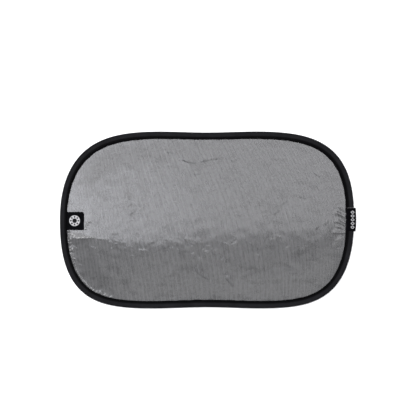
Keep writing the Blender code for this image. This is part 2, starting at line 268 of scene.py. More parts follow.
def band_width(distance):
    """The tape's width at distances along the rim."""
    corner_or_side = (
        (WRAP_AT % RIM_LENGTH, RIGHT_WIDTH),
        (PANEL_CORNERS[1], TOP_RIGHT_WIDTH),
        (TOP_MIDDLE, TOP_WIDTH),
        (PANEL_CORNERS[2], TOP_LEFT_WIDTH),
        (TAB_AT, LEFT_WIDTH),
        (PANEL_CORNERS[3], BOTTOM_LEFT_WIDTH),
        (FERRULE_AT, BOTTOM_WIDTH),
        (PANEL_CORNERS[4], BOTTOM_RIGHT_WIDTH),
    )
    places, widths = zip(*corner_or_side)
    width = np.interp(distance, places, widths, period=RIM_LENGTH)
    return width + LIP_WANDER * wander(distance, waves=40, seed=3)


# %% [markdown]
# ## How nodes are built here
#
# Materials and Geometry Nodes trees could be wired by hand in the node editor. Here they are wired in code,
# so that each number has a name and can be changed in one place. One helper adds a node, sets its options,
# and either sets or links each input. The others are short names for what is done again and again.


# %% Node helpers
def add(tree, kind, inputs=None, **options):
    """A new node. Each input is given as a value, or as the socket that feeds it."""
    node = tree.nodes.new(kind)
    for name, value in options.items():
        setattr(node, name, value)
    for name, value in (inputs or {}).items():
        if isinstance(value, bpy.types.NodeSocket):
            tree.links.new(value, node.inputs[name])
        else:
            node.inputs[name].default_value = value
    return node


def made(tree, kind, inputs=None, **options):
    """A new node's first result."""
    return add(tree, kind, inputs, **options).outputs[0]


def calc(tree, operation, *values, clamp=False):
    """The result of a Math node."""
    return made(tree, "ShaderNodeMath", dict(enumerate(values)), operation=operation, use_clamp=clamp)


def vary(tree, pattern, weight, shade, clamp=False):
    """A shade with a pattern of 0 to 1 added, taken about its middle."""
    return calc(tree, "MULTIPLY_ADD", calc(tree, "SUBTRACT", pattern, 0.5), weight, shade, clamp=clamp)


def spread(tree, value, low, high, to_low=0.0, to_high=1.0):
    """A Map Range node's result: value from low..high to to_low..to_high, held at both ends."""
    inputs = {"Value": value, "From Min": low, "From Max": high, "To Min": to_low, "To Max": to_high}
    return made(tree, "ShaderNodeMapRange", inputs)


def blend(tree, factor, dark, light):
    """A colour between two, by a factor."""
    mix = add(tree, "ShaderNodeMix", {0: factor, 6: (*dark, 1.0), 7: (*light, 1.0)}, data_type="RGBA")
    return mix.outputs[2]


def noise(tree, vector, scale, detail=2.0):
    """Soft random values from 0 to 1."""
    inputs = {"Vector": vector, "Scale": scale, "Detail": detail}
    return add(tree, "ShaderNodeTexNoise", inputs).outputs["Fac"]


def stretched_noise(tree, vector, size):
    """Noise whose patches have a size across and a size along."""
    across, along = size
    inputs = {0: vector, 1: (1 / across, 1 / along, 1 / across)}
    return noise(tree, made(tree, "ShaderNodeVectorMath", inputs, operation="MULTIPLY"), 1.0)


def own_place(tree):
    """A point's place in the piece's own coordinates, in metres."""
    return add(tree, "ShaderNodeTexCoord").outputs["Object"]


def new_tree(kind, name, inputs, outputs):
    """A node tree with its sockets, and its input and output nodes."""
    tree = bpy.data.node_groups.new(name, kind)
    for label, socket_kind, value in inputs:
        socket = tree.interface.new_socket(name=label, in_out="INPUT", socket_type=socket_kind)
        if value is not None:
            socket.default_value = value
    for label, socket_kind in outputs:
        tree.interface.new_socket(name=label, in_out="OUTPUT", socket_type=socket_kind)
    return tree, tree.nodes.new("NodeGroupInput"), tree.nodes.new("NodeGroupOutput")


def new_material(name, **constants):
    """A material, its tree and its shader. A name such as specular sets the shader's own socket."""
    socket_names = {
        "roughness": "Roughness",
        "metallic": "Metallic",
        "alpha": "Alpha",
        "specular": "Specular IOR Level",
        "sheen": "Sheen Weight",
        "sheen_roughness": "Sheen Roughness",
    }
    material = bpy.data.materials.new(name)
    material.use_nodes = True
    tree = material.node_tree
    shader = tree.nodes["Principled BSDF"]
    for key, value in constants.items():
        shader.inputs[socket_names[key]].default_value = value
    return material, tree, shader


def dress(tree, shader, colour, roughness=None, height=None, depth=0.0):
    """Feeds a colour, a roughness and a bump height of some depth into the shader."""
    tree.links.new(colour, shader.inputs["Base Color"])
    if roughness is not None:
        tree.links.new(roughness, shader.inputs["Roughness"])
    if height is not None:
        relief = made(tree, "ShaderNodeBump", {"Height": height, "Distance": depth, "Strength": 1.0})
        tree.links.new(relief, shader.inputs["Normal"])


# %% [markdown]
# ## Two effects that several finishes share
#
# Tape, ribbon and mesh are all woven, and all of them pick up lint and rubbed places. Each effect is one
# node group with named sizes, so that a finish only says how coarse and how strong it is.


# %% Group: plain weave
def weave_group():
    """Threads that pass over and under each other, from a place in metres and the two thread pitches."""
    sockets = (
        ("Vector", "NodeSocketVector", None),
        ("Warp Pitch", "NodeSocketFloat", 0.0005),
        ("Weft Pitch", "NodeSocketFloat", 0.0005),
    )
    masks = (("Height", "NodeSocketFloat"), ("Gap", "NodeSocketFloat"))
    group, start, end = new_tree("ShaderNodeTree", "plain_weave", sockets, masks)
    place = add(group, "ShaderNodeSeparateXYZ", {0: start.outputs["Vector"]})
    waves = []
    for axis, pitch in enumerate(("Warp Pitch", "Weft Pitch")):
        threads = calc(group, "DIVIDE", place.outputs[axis], start.outputs[pitch])
        waves.append(calc(group, "COSINE", calc(group, "MULTIPLY", threads, math.pi)))
    warp, weft = waves
    warp_round = calc(group, "MULTIPLY", warp, warp)
    weft_round = calc(group, "MULTIPLY", weft, weft)
    over = calc(group, "MULTIPLY_ADD", calc(group, "MULTIPLY", warp, weft), 0.5, 0.5)
    under = calc(group, "SUBTRACT", 1.0, over)
    warp_height = calc(group, "MULTIPLY", warp_round, over)
    weft_height = calc(group, "MULTIPLY", weft_round, under)
    height = calc(group, "MAXIMUM", warp_height, weft_height)
    gap = calc(group, "SUBTRACT", 1.0, calc(group, "MAXIMUM", warp_round, weft_round))
    group.links.new(height, end.inputs["Height"])
    group.links.new(gap, end.inputs["Gap"])
    return group


WEAVE = weave_group()


# %% Group: lint and rubbed places
def wear_group():
    """Soft patches where cloth is rubbed, and sparse specks of lint, as two masks."""
    sockets = (
        ("Vector", "NodeSocketVector", None),
        ("Patch Scale", "NodeSocketFloat", 40.0),
        ("Lint Scale", "NodeSocketFloat", 900.0),
    )
    masks = (("Rubbed", "NodeSocketFloat"), ("Lint", "NodeSocketFloat"))
    group, start, end = new_tree("ShaderNodeTree", "wear_and_lint", sockets, masks)
    patches = noise(group, start.outputs["Vector"], start.outputs["Patch Scale"], 3.0)
    specks = noise(group, start.outputs["Vector"], start.outputs["Lint Scale"], 1.0)
    group.links.new(spread(group, patches, 0.35, 0.7), end.inputs["Rubbed"])
    group.links.new(spread(group, specks, 0.72, 0.8), end.inputs["Lint"])
    return group


WEAR = wear_group()


def place_weave(tree, uv_map, pitches):
    """The weave's height and gaps, on the piece's own UV map."""
    node = add(tree, "ShaderNodeGroup", node_tree=WEAVE)
    tree.links.new(made(tree, "ShaderNodeUVMap", uv_map=uv_map), node.inputs["Vector"])
    node.inputs["Warp Pitch"].default_value, node.inputs["Weft Pitch"].default_value = pitches
    return node.outputs["Height"], node.outputs["Gap"]


def place_wear(tree, patch_scale, lint_scale):
    """The masks of rubbed patches and of lint."""
    node = add(tree, "ShaderNodeGroup", node_tree=WEAR)
    tree.links.new(own_place(tree), node.inputs["Vector"])
    node.inputs["Patch Scale"].default_value = patch_scale
    node.inputs["Lint Scale"].default_value = lint_scale
    return node.outputs["Rubbed"], node.outputs["Lint"]


print("Shared effects:", WEAVE.name, WEAR.name)

# %% [markdown]
# ## Finish: the cling film
#
# The film is smoke-grey soft vinyl with a wet gloss. The mesh under it shows through as faint upright lines
# that lean where the sheet was pulled. The lines follow the piece's own UV map, whose first direction is
# already bent with the cloth. The gloss is plain shader gloss: what looks like two greys is the studio
# light caught by one slope of the sheet.


# %% Finish: cling film
GRAIN = "grain"
FILM_DARK = (0.041, 0.041, 0.0425)
FILM_LIGHT = (0.109, 0.109, 0.112)
FILM_COVER = 0.86
FILM_ROUGHNESS = 0.15
FILM_BUMP = 0.015 * MM
WIDE_WAVE = 8.6 * MM
NARROW_WAVE = 4.25 * MM
STREAK_SIZE = (2.6 * MM, 24.0 * MM)
STAIN_SIZE = (24.0 * MM, 11.0 * MM)
MOTTLE_SCALE = 230.0
CLOUD_SCALE = 22.0
CRINKLE_SCALE = 260.0


def film_material():
    material, tree, shader = new_material("smoke_film", alpha=FILM_COVER, specular=0.55)
    grain = made(tree, "ShaderNodeUVMap", uv_map=GRAIN)
    place = own_place(tree)
    across = made(tree, "ShaderNodeSeparateXYZ", {0: grain})
    turns = [calc(tree, "MULTIPLY", across, 2 * math.pi / pitch) for pitch in (WIDE_WAVE, NARROW_WAVE)]
    wide, narrow = (calc(tree, "SINE", turn) for turn in turns)
    stains = spread(tree, stretched_noise(tree, place, STAIN_SIZE), 0.32, 0.46, -0.22, 0.0)
    lines = calc(tree, "MULTIPLY_ADD", wide, 0.095, calc(tree, "MULTIPLY", narrow, 0.06))
    shade = vary(tree, stretched_noise(tree, grain, STREAK_SIZE), 0.7, 0.52)
    shade = calc(tree, "ADD", calc(tree, "ADD", shade, lines), stains)
    shade = vary(tree, noise(tree, place, MOTTLE_SCALE), 0.65, shade)
    shade = vary(tree, noise(tree, place, CLOUD_SCALE), 0.3, shade, clamp=True)
    rubbed, lint = place_wear(tree, 30.0, 700.0)
    roughness = calc(tree, "MULTIPLY_ADD", rubbed, 0.03, FILM_ROUGHNESS)
    roughness = calc(tree, "MULTIPLY_ADD", lint, 0.04, roughness)
    crinkle = noise(tree, place, CRINKLE_SCALE, 3.0)
    height = calc(tree, "ADD", crinkle, calc(tree, "MULTIPLY", narrow, 0.04))
    dress(tree, shader, blend(tree, shade, FILM_DARK, FILM_LIGHT), roughness, height, FILM_BUMP)
    return material


FILM = film_material()

# %% [markdown]
# ## Finish: the mesh
#
# The backing is a fine net of grey polyester. Its holes are about a millimetre apart, too many to model one
# by one on a sheet this size, so a weave in the shader gives the threads their height and darkens the holes
# between them.


# %% Finish: mesh fabric
MESH_PITCHES = (0.9 * MM, 1.1 * MM)
MESH_DARK = (0.02, 0.02, 0.021)
MESH_LIGHT = (0.17, 0.17, 0.175)
MESH_BUMP = 0.2 * MM


def mesh_material():
    material, tree, shader = new_material("grey_net", specular=0.25, sheen=0.1)
    height, gap = place_weave(tree, GRAIN, MESH_PITCHES)
    rubbed, lint = place_wear(tree, 25.0, 800.0)
    thread = calc(tree, "MULTIPLY_ADD", height, 0.6, 0.3)
    thread = calc(tree, "MULTIPLY_ADD", gap, -0.9, thread)
    thread = calc(tree, "MULTIPLY_ADD", rubbed, 0.15, thread, clamp=True)
    roughness = calc(tree, "MULTIPLY_ADD", lint, 0.1, 0.75)
    dress(tree, shader, blend(tree, thread, MESH_DARK, MESH_LIGHT), roughness, height, MESH_BUMP)
    return material


NET = mesh_material()

# %% [markdown]
# ## Finish: tape, ribbon and thread
#
# The tape is black knitted polyester. On the roll it is stretched open and catches a soft sheen, and on the
# lip the seam presses it flat and rougher. The lip's colour is also darkened there, as painted shade for the
# shadow along the band's inner edge. Two materials could meet at the seam, but the painted shade changes
# softly. So an attribute tells the one material how hard each point is pressed, and the same attribute sets
# the painted shade. The weave follows a UV map that runs along the rim and round the fold, in metres. The
# ribbons are woven closer and are a little shinier.


# %% Finish: black tape
CLOTH = "cloth"
# How pressed each point is. The tape's finish also darkens the pressed lip by it, as painted shade
PRESSED_AND_SHADED = "pressed_and_shaded"
TAPE_PITCHES = (0.55 * MM, 0.8 * MM)
TAPE_DARK = (0.0003, 0.0003, 0.0004)
TAPE_LIGHT = (0.0145, 0.0145, 0.0163)
TAPE_BUMP = 0.12 * MM


def tape_material():
    material, tree, shader = new_material("black_tape", specular=0.02, sheen=0.01, sheen_roughness=0.4)
    height, gap = place_weave(tree, CLOTH, TAPE_PITCHES)
    rubbed, lint = place_wear(tree, 60.0, 900.0)
    pressed_and_shaded = add(tree, "ShaderNodeAttribute", attribute_name=PRESSED_AND_SHADED).outputs["Fac"]
    tone = calc(tree, "MULTIPLY_ADD", height, 0.35, 0.4)
    tone = calc(tree, "MULTIPLY_ADD", rubbed, 0.25, tone)
    # Painted shade: the pressed lip is darkened to stand in for the shadow beside the band's inner edge
    tone = calc(tree, "MULTIPLY", tone, calc(tree, "MULTIPLY_ADD", pressed_and_shaded, -0.85, 1.0))
    tone = calc(tree, "MULTIPLY_ADD", lint, 0.4, tone, clamp=True)
    roughness = calc(tree, "MULTIPLY_ADD", pressed_and_shaded, 0.2, 0.62)
    relief = calc(tree, "MULTIPLY_ADD", gap, -0.5, height)
    dress(tree, shader, blend(tree, tone, TAPE_DARK, TAPE_LIGHT), roughness, relief, TAPE_BUMP)
    return material


# %% Finish: black ribbon
RIBBON_PITCHES = (0.22 * MM, 0.34 * MM)
RIBBON_DARK = (0.0005, 0.0005, 0.0007)
RIBBON_LIGHT = (0.0028, 0.0028, 0.0042)
RIBBON_BUMP = 0.06 * MM


def ribbon_material():
    material, tree, shader = new_material("black_ribbon", specular=0.015)
    height, _ = place_weave(tree, CLOTH, RIBBON_PITCHES)
    rubbed, lint = place_wear(tree, 90.0, 1100.0)
    tone = calc(tree, "MULTIPLY_ADD", height, 0.5, calc(tree, "MULTIPLY", rubbed, 0.3))
    tone = calc(tree, "MULTIPLY_ADD", lint, 0.5, tone, clamp=True)
    roughness = calc(tree, "MULTIPLY_ADD", rubbed, 0.1, 0.5)
    dress(tree, shader, blend(tree, tone, RIBBON_DARK, RIBBON_LIGHT), roughness, height, RIBBON_BUMP)
    return material


# %% Finish: sewing and weaving threads
THREAD_ROUGHNESS = 0.6
THREAD_BUMP = 0.04 * MM


def thread_material(name, dark, light, twist):
    """Spun thread: a slanted wave of light and dark plies across it."""
    material, tree, shader = new_material(name, roughness=THREAD_ROUGHNESS, specular=0.1)
    axes = add(tree, "ShaderNodeSeparateXYZ", {0: own_place(tree)})
    slant = calc(tree, "ADD", axes.outputs[0], calc(tree, "MULTIPLY", axes.outputs[1], 0.8))
    plies = calc(tree, "SINE", calc(tree, "MULTIPLY", slant, 2 * math.pi / twist))
    rubbed, _ = place_wear(tree, 120.0, 1500.0)
    tone = calc(tree, "MULTIPLY_ADD", plies, 0.3, 0.5)
    tone = calc(tree, "MULTIPLY_ADD", rubbed, 0.3, tone, clamp=True)
    dress(tree, shader, blend(tree, tone, dark, light), height=plies, depth=THREAD_BUMP)
    return material


TAPE = tape_material()
RIBBON = ribbon_material()
BLACK_THREAD = thread_material("black_thread", (0.001, 0.001, 0.001), (0.004, 0.004, 0.005), 0.5 * MM)
WHITE_THREAD = thread_material("white_thread", (0.3, 0.3, 0.31), (0.44, 0.44, 0.45), 0.45 * MM)
GREY_THREAD = thread_material("grey_thread", (0.1, 0.1, 0.1), (0.3, 0.3, 0.3), 0.5 * MM)
print("Finishes:", ", ".join(material.name for material in bpy.data.materials))

# %% [markdown]
# ## Finish: wire and sleeve
#
# Both are hidden in the tape. They could stay plain grey, but someone may open the tape in another view. So
# both are real metal: bright drawn wire with fine scratches, and a zinc-plated sleeve with a paler,
# cloudier and duller skin.


# %% Finish: metals
METAL_BUMP = 0.02 * MM


def metal_material(name, dark, light, least_rough, scratch_scale):
    material, tree, shader = new_material(name, metallic=1.0)
    scratches = noise(tree, own_place(tree), scratch_scale, 4.0)
    rubbed, _ = place_wear(tree, 150.0, 900.0)
    tone = calc(tree, "MULTIPLY_ADD", rubbed, 0.4, calc(tree, "MULTIPLY", scratches, 0.6), clamp=True)
    roughness = calc(tree, "MULTIPLY_ADD", scratches, 0.2, least_rough)
    dress(tree, shader, blend(tree, tone, dark, light), roughness, scratches, METAL_BUMP)
    return material


SPRING_STEEL = metal_material("drawn_spring_steel", (0.36, 0.36, 0.38), (0.58, 0.58, 0.6), 0.25, 1800.0)
ZINC = metal_material("crimped_zinc", (0.45, 0.46, 0.47), (0.7, 0.7, 0.71), 0.35, 700.0)
for node_name, metal in (("spring_wire", SPRING_STEEL), ("wire_ferrule", ZINC)):
    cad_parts[node_name].material_slots[0].material = metal
    print(node_name, "is finished in", metal.name)

# %% [markdown]
# ## The sheet's slack
#
# A clinging sheet is never quite flat. A long soft ridge crosses it from the left rim, where it is sharp,
# to the right, where it fades, and one slope of it catches the light. Cloth simulation could find such a
# shape, but not this one, so the large forms are formulas shared with the CAD model, and small creases are
# added to them.

# %% The large forms' sizes, close to the CAD model's
RIDGE_HEIGHT = 4.6 * MM
RIDGE_LEVEL = -27.0 * MM
RIDGE_TILT = 4.0 * MM
RIDGE_DIP = 13.5 * MM
RIDGE_DIP_X = -85.0 * MM
RIDGE_DIP_REACH = 55.0 * MM
RIDGE_SHARP = 4.0 * MM
RIDGE_SOFT = 30.0 * MM
SOFTNESS_SHIFT = 0.62
RIM_FADE = 42.0 * MM
CREASE_LENGTH = 52.0 * MM
CREASE_HEIGHT = 1.6 * MM
CREASE_SPREAD = 6.0 * MM
CREASE_RISE = 8
GATHER_COUNT = 5
GATHER_PITCH = 9.0 * MM
GATHER_DEPTH = 0.9 * MM
GATHER_SPREAD = 3.0 * MM
GATHER_REACH = 20.0 * MM
GATHER_FAN = math.radians(45)
GATHER_RISE = 6


# %% The large forms
def ridge_crest(x):
    """The line across the panel where the ridge's two slopes meet."""
    dip = RIDGE_DIP * np.exp(-(((x - RIDGE_DIP_X) / RIDGE_DIP_REACH) ** 2))
    return RIDGE_LEVEL + RIDGE_TILT * 2 * x / SHADE_LENGTH - dip


def ridge_relief(x, y):
    """Two slopes that fall from the crest to the long sides, with a rounded top."""
    crest = ridge_crest(x)
    softness = RIDGE_SHARP + (RIDGE_SOFT - RIDGE_SHARP) * ease(x / SHADE_LENGTH + SOFTNESS_SHIFT)
    edge = SHADE_WIDTH / 2 - PANEL_EDGE_INSET
    reach = np.where(y > crest, edge - crest, edge + crest)
    return RIDGE_HEIGHT * (1 - (np.hypot(y - crest, softness) - softness) / reach)


def crease_relief(x, y):
    """The one large crease, which starts at the left lip and runs out along the crest."""
    along = (x + SHADE_LENGTH / 2 - PANEL_EDGE_INSET) / CREASE_LENGTH
    across = (y - ridge_crest(x)) / CREASE_SPREAD
    return CREASE_HEIGHT * ease(CREASE_RISE * along) * (1 - ease(along)) * np.exp(-(across**2))


def gather_place(k, x, y):
    """How far along and across gather k each point is."""
    turn = (1 - k / (GATHER_COUNT - 1)) * GATHER_FAN
    seam_x = SHADE_LENGTH / 2 - PANEL_EDGE_INSET
    seam_y = WRAP_OFFSET + WRAP_WIDTH / 2 - (k + 1) * GATHER_PITCH
    along = (seam_x - x) * math.cos(turn) + (y - seam_y) * math.sin(turn)
    across = (y - seam_y) * math.cos(turn) - (seam_x - x) * math.sin(turn)
    return along, across


def gather_relief(x, y):
    """The dents that fan out from the wrapped ribbon."""
    depth = np.zeros_like(x)
    for k in range(GATHER_COUNT):
        along, across = gather_place(k, x, y)
        run = along / GATHER_REACH
        depth += ease(GATHER_RISE * run) * (1 - ease(run)) * np.exp(-((across / GATHER_SPREAD) ** 2))
    return -GATHER_DEPTH * depth


def large_relief(x, y, inset):
    """How far the slack lifts the sheet above its level in the seam."""
    slack = ease(inset / RIM_FADE) * ridge_relief(x, y) + crease_relief(x, y) + gather_relief(x, y)
    return np.where(inset > 0, slack, 0.0)


# %% [markdown]
# ## Small creases
#
# Vinyl that has been folded keeps short, sharp creases. They could be a noise in the shader, but real ones
# have a direction, a length and a slight bow, and they catch the light one by one. Each crease here is a
# chord with a bow, a height and a half-width. Where its left side falls off more gently, most of its light
# turns one way, and it is seen as one dark or pale stroke and not as a pair. Creases that can be seen
# clearly are listed one by one.


# %% One crease
Crease = namedtuple("Crease", "start forward length bow height width left_width")
END_TAPER = 3.5
TOUCHED_SHARES = (-0.1, 1.1)
TOUCHED_WIDTHS = 2.1


def crease(start, middle, end, height, width, left_width=None):
    """A crease through three points, in millimetres from the hoop's centre."""
    start, middle, end = (np.array(point) * MM for point in (start, middle, end))
    length = float(np.linalg.norm(end - start))
    forward = (end - start) / length
    bow = float((middle - start) @ np.array([-forward[1], forward[0]]))
    return Crease(start, forward, length, bow, height * MM, width * MM, (left_width or width) * MM)


def crease_place(one, x, y):
    """For each point, its share along a crease and how many half-widths it is from the ridge."""
    step_x, step_y = x - one.start[0], y - one.start[1]
    share = (step_x * one.forward[0] + step_y * one.forward[1]) / one.length
    across = step_y * one.forward[0] - step_x * one.forward[1] - one.bow * (1 - (2 * share - 1) ** 2)
    return share, across / np.where(across > 0, one.left_width, one.width)


def raised(creases, x, y):
    """The height that all these creases add."""
    total = np.zeros_like(x)
    for one in creases:
        share, across = crease_place(one, x, y)
        total += one.height * ease(END_TAPER * np.minimum(share, 1 - share)) * np.exp(-(across**2))
    return total


def touched(creases, x, y):
    """True for the points that lie on a crease or just beside it."""
    found = np.zeros(len(x), bool)
    for one in creases:
        share, across = crease_place(one, x, y)
        along = (share > TOUCHED_SHARES[0]) & (share < TOUCHED_SHARES[1])
        found |= along & (np.abs(across) < TOUCHED_WIDTHS)
    return found


# %% Creases listed one by one
PLACED_CREASES = [
    # From the left lip along the sharp end of the long ridge
    crease((-234, -30), (-212, -31.5), (-188, -30.5), 0.5, 1.3),
    crease((-232, -22), (-227, -27), (-222, -30), 0.4, 1.2),
    crease((-216, -30), (-200, -30.5), (-186, -31), 0.45, 1.2),
    crease((-190, -31), (-176, -33), (-163, -33), 0.12, 1.4),
    crease((-150, -38), (-131, -45), (-112, -57), 0.15, 2.0, 5),
    # Short glints under the ridge's crest
    crease((-117, -51), (-109, -52), (-101, -55), 0.19, 1.2),
    crease((-39, -31), (-31, -34), (-22, -36), 0.3, 1.5, 4),
    crease((-58, -36), (-53, -37), (-47, -40), 0.18, 1.1),
    crease((-52, -31), (-47, -31), (-43, -34), 0.15, 1.0),
    crease((-28, -59), (-24, -57.5), (-19, -55), 0.2, 1.1),
    crease((-9, -53.5), (-5, -50), (0, -49.5), 0.16, 1.1),
    crease((-2, -46.5), (2, -44), (7, -44.5), 0.15, 1.0),
    crease((-5, -53), (1, -56), (5, -61), 0.2, 1.5, 3),
    crease((-16, -67), (-12, -65.5), (-8, -65.5), 0.24, 1.0),
    crease((9, -54), (14, -51.5), (19, -51), 0.2, 1.1),
    crease((40, -42.5), (46, -41), (53, -37), 0.16, 1.1),
    # Dark strokes on the lower slope
    crease((-20, -84), (-8.5, -94), (8, -101), 0.5, 1.5, 6),
    crease((29, -95), (38, -103.5), (46, -115), 0.46, 1.5, 6),
    crease((20, -66), (30, -71.5), (38, -80), 0.32, 1.8, 5),
    crease((81, -58), (88, -64), (89, -75), 0.34, 2.2, 5),
    crease((132, -46), (139, -52), (139, -60), 0.28, 2.2, 5),
    # Beside the tab
    crease((-206, -7), (-202, -4.5), (-196, -3.5), 0.3, 0.8),
    crease((-208, -12), (-205, -10), (-200, -8), 0.28, 0.8),
    crease((-208, -16), (-205, -15), (-202, -14), 0.28, 0.8),
    crease((-201, -26), (-199, -28), (-195, -29.5), 0.2, 0.7),
    # Soft bends at the top and at the upper right
    crease((-75, 117), (-60, 115), (-46, 108), 0.48, 2.5, 6),
    crease((-50, 109), (-32, 100), (-14, 97), 0.5, 2.6, 6),
    crease((-18, 98), (6, 104), (30, 106), 0.44, 2.6, 6),
    crease((24, 108), (38, 104), (52, 98), 0.42, 2.4, 6),
    crease((-30, 81), (-19, 78), (-7, 80), 0.25, 1.4, 3),
    crease((180, 84), (188, 77), (196, 72), 0.36, 2.4, 6),
    # Pleats that the wrapped ribbon's stitches pull into the film
    crease((212, -50), (216, -42), (227, -37), 0.3, 1.5),
    crease((222, 25), (229, 18.5), (243, 8.5), 1.1, 1.9, 4),
    crease((215, 14), (227, 8.5), (245, -4.5), 1.35, 2.0, 4),
    crease((214, -1.5), (227, -5), (245, -15.5), 1.3, 2.0, 4),
    crease((217, -10), (229, -14), (245, -23.5), 1.1, 1.8, 3.5),
    crease((210, -21.5), (226, -22), (245, -24), 1.1, 1.8, 3.5),
    crease((244, -22), (230, -29), (216, -38), 0.5, 1.6, 3),
]


# %% [markdown]
# ## Creases too many to place
#
# Where the seam gathers the film, below the tab and round the lower left corner, crinkles run in from the
# lip. Between those two stretches the film rolls up beside the lip instead, and shows as one bright line.
# Faint creases lie all over the sheet, and more of them where it turns over the ridge. All could be placed
# by hand too, but nobody would miss a single one, so they are drawn from fixed seeds: the same each time,
# and as many as wanted.

# %% Creases drawn from a seed
# Each stretch: first and last distance along the rim from the tab, how many crinkles, and the longest in mm
CRINKLED_STRETCHES = ((17.0 * MM, 82.0 * MM, 20, 10.0), (130.0 * MM, 182.0 * MM, 12, 5.0))
CRINKLE_START = 2.0 * MM
CRINKLE_JITTER = 1.3 * MM
LIP_FOLD = (78.0 * MM, 134.0 * MM)
LIP_FOLD_INSET = 1.6 * MM
LIP_FOLD_PIECES = 4
LIP_FOLD_OVERLAP = 0.3
SCATTERED_CREASES = 150
SCATTER_INSETS = (8.0, 128.0)
SCATTER_WIDTH = 1.7
CREST_CREASES = 70
CREST_ENDS = (-165.0, 60.0)
CREST_BELOW = -13.0
CREST_WIDTH = 1.2
NARROW = 0.95 * MM


def rim_crinkles():
    """Short creases that run in from the lip."""
    dice = np.random.default_rng(11)
    drawn = []
    for first, last, count, deepest in CRINKLED_STRETCHES:
        for distance in TAB_AT + np.linspace(first, last, count) + dice.normal(0.0, CRINKLE_JITTER, count):
            reach = deepest * dice.uniform(0.3, 1.0)
            skew = dice.uniform(-7.0, 7.0)
            start = np.array(on_rim(distance, PANEL_EDGE_INSET - CRINKLE_START)) / MM
            end = np.array(on_rim(distance + skew * MM, PANEL_EDGE_INSET + reach * MM)) / MM
            side = np.array([start[1] - end[1], end[0] - start[0]])
            middle = (start + end) / 2 + side * dice.uniform(-0.2, 0.2)
            drawn.append(crease(start, middle, end, dice.uniform(0.55, 1.3), dice.uniform(1.0, 1.4)))
    return drawn


def lip_fold():
    """The roll of film beside the lip, as a chain of creases that overlap."""
    places = TAB_AT + np.linspace(*LIP_FOLD, 2 * LIP_FOLD_PIECES + 1)
    line = np.column_stack(on_rim(places, band_width(places) + LIP_FOLD_INSET)) / MM
    overlap = (line[2] - line[0]) * LIP_FOLD_OVERLAP
    pieces = []
    for k in range(LIP_FOLD_PIECES):
        start, middle, end = line[2 * k : 2 * k + 3]
        pieces.append(crease(start - overlap, middle, end + overlap, 0.5, 1.0))
    return pieces


def drawn_crease(dice, centre, turning, halves, bend, heights, width):
    """A crease about a centre, with its turn, half length, bend and height drawn from the dice."""
    turn = dice.normal(0.0, turning)
    half = dice.uniform(*halves) * np.array([math.cos(turn), math.sin(turn)])
    bow = np.array([-half[1], half[0]]) * dice.uniform(-bend, bend)
    return crease(centre - half, centre + bow, centre + half, dice.uniform(*heights), width)


def scattered_creases():
    """Faint creases anywhere on the sheet, most of them lying along it."""
    dice = np.random.default_rng(5)
    drawn = []
    for _ in range(SCATTERED_CREASES):
        distance = dice.uniform(0, RIM_LENGTH)
        inset = PANEL_EDGE_INSET + dice.uniform(*SCATTER_INSETS) * MM
        centre = np.array(on_rim(distance, inset)) / MM
        drawn.append(drawn_crease(dice, centre, 0.8, (3, 11), 0.35, (0.04, 0.17), SCATTER_WIDTH))
    return drawn


def crest_creases():
    """Short creases crowded just below the ridge, in the middle of the sheet."""
    dice = np.random.default_rng(17)
    drawn = []
    for _ in range(CREST_CREASES):
        x = dice.uniform(*CREST_ENDS)
        centre = np.array([x, float(ridge_crest(x * MM)) / MM + dice.normal(CREST_BELOW, 9.0)])
        drawn.append(drawn_crease(dice, centre, 0.6, (1.5, 5.5), 0.4, (0.05, 0.19), CREST_WIDTH))
    return drawn


SHARP_CREASES = PLACED_CREASES + rim_crinkles() + lip_fold()
NARROW_CREASES = [one for one in SHARP_CREASES if one.width < NARROW]
FAINT_CREASES = scattered_creases() + crest_creases()
print(len(SHARP_CREASES), "sharp creases and", len(FAINT_CREASES), "faint ones")

# %% Ripples, and all the small forms together
RIPPLES = 40
RIPPLE_LENGTHS = (12.0, 30.0)
RIPPLE_SLOPE = 0.0025
TAB_FADE = 3.0 * MM
LIP_FADE = 1.1 * MM


def ripples(x, y):
    """Faint waves in every direction, all of the same steepness."""
    dice = np.random.default_rng(29)
    total = np.zeros_like(x)
    for _ in range(RIPPLES):
        turn = dice.uniform(0, math.pi)
        length = dice.uniform(*RIPPLE_LENGTHS) * MM
        phase = 2 * math.pi * ((x * math.cos(turn) + y * math.sin(turn)) / length + dice.random())
        total += RIPPLE_SLOPE * length / (2 * math.pi) * np.sin(phase)
    return total


def small_relief(x, y, clear_of_lip):
    """The creases and ripples, faded out at the tape's lip and under the tab so that nothing rubs through."""
    tab_x = (x + SHADE_LENGTH / 2 - TAB_LENGTH) / TAB_FADE
    tab_y = (np.abs(y - TAB_OFFSET) - TAB_WIDTH / 2) / TAB_FADE
    clear_of_tab = ease(np.maximum(tab_x, tab_y))
    total = raised(SHARP_CREASES + FAINT_CREASES, x, y) + ripples(x, y)
    return clear_of_tab * ease(clear_of_lip / LIP_FADE) * total


# %% [markdown]
# ## The panel's two sheets
#
# Film and mesh are cut to the rim's shape and sewn in together. A filled outline would end on the rim too,
# but in long slivers that take no crease well. So a square grid is bent until its lines are rings about the
# centre, and the outermost rings lie in the seam. Its squares are cut in four only where creases are: once
# under the faint ones, twice under the sharp ones and three times under the narrowest. So a fold a
# millimetre wide gets enough points, and the flat parts stay light.


# %% Place a square grid inside the rim
COLUMN_CROWDING = 0.15
TUCKED_RINGS = 3


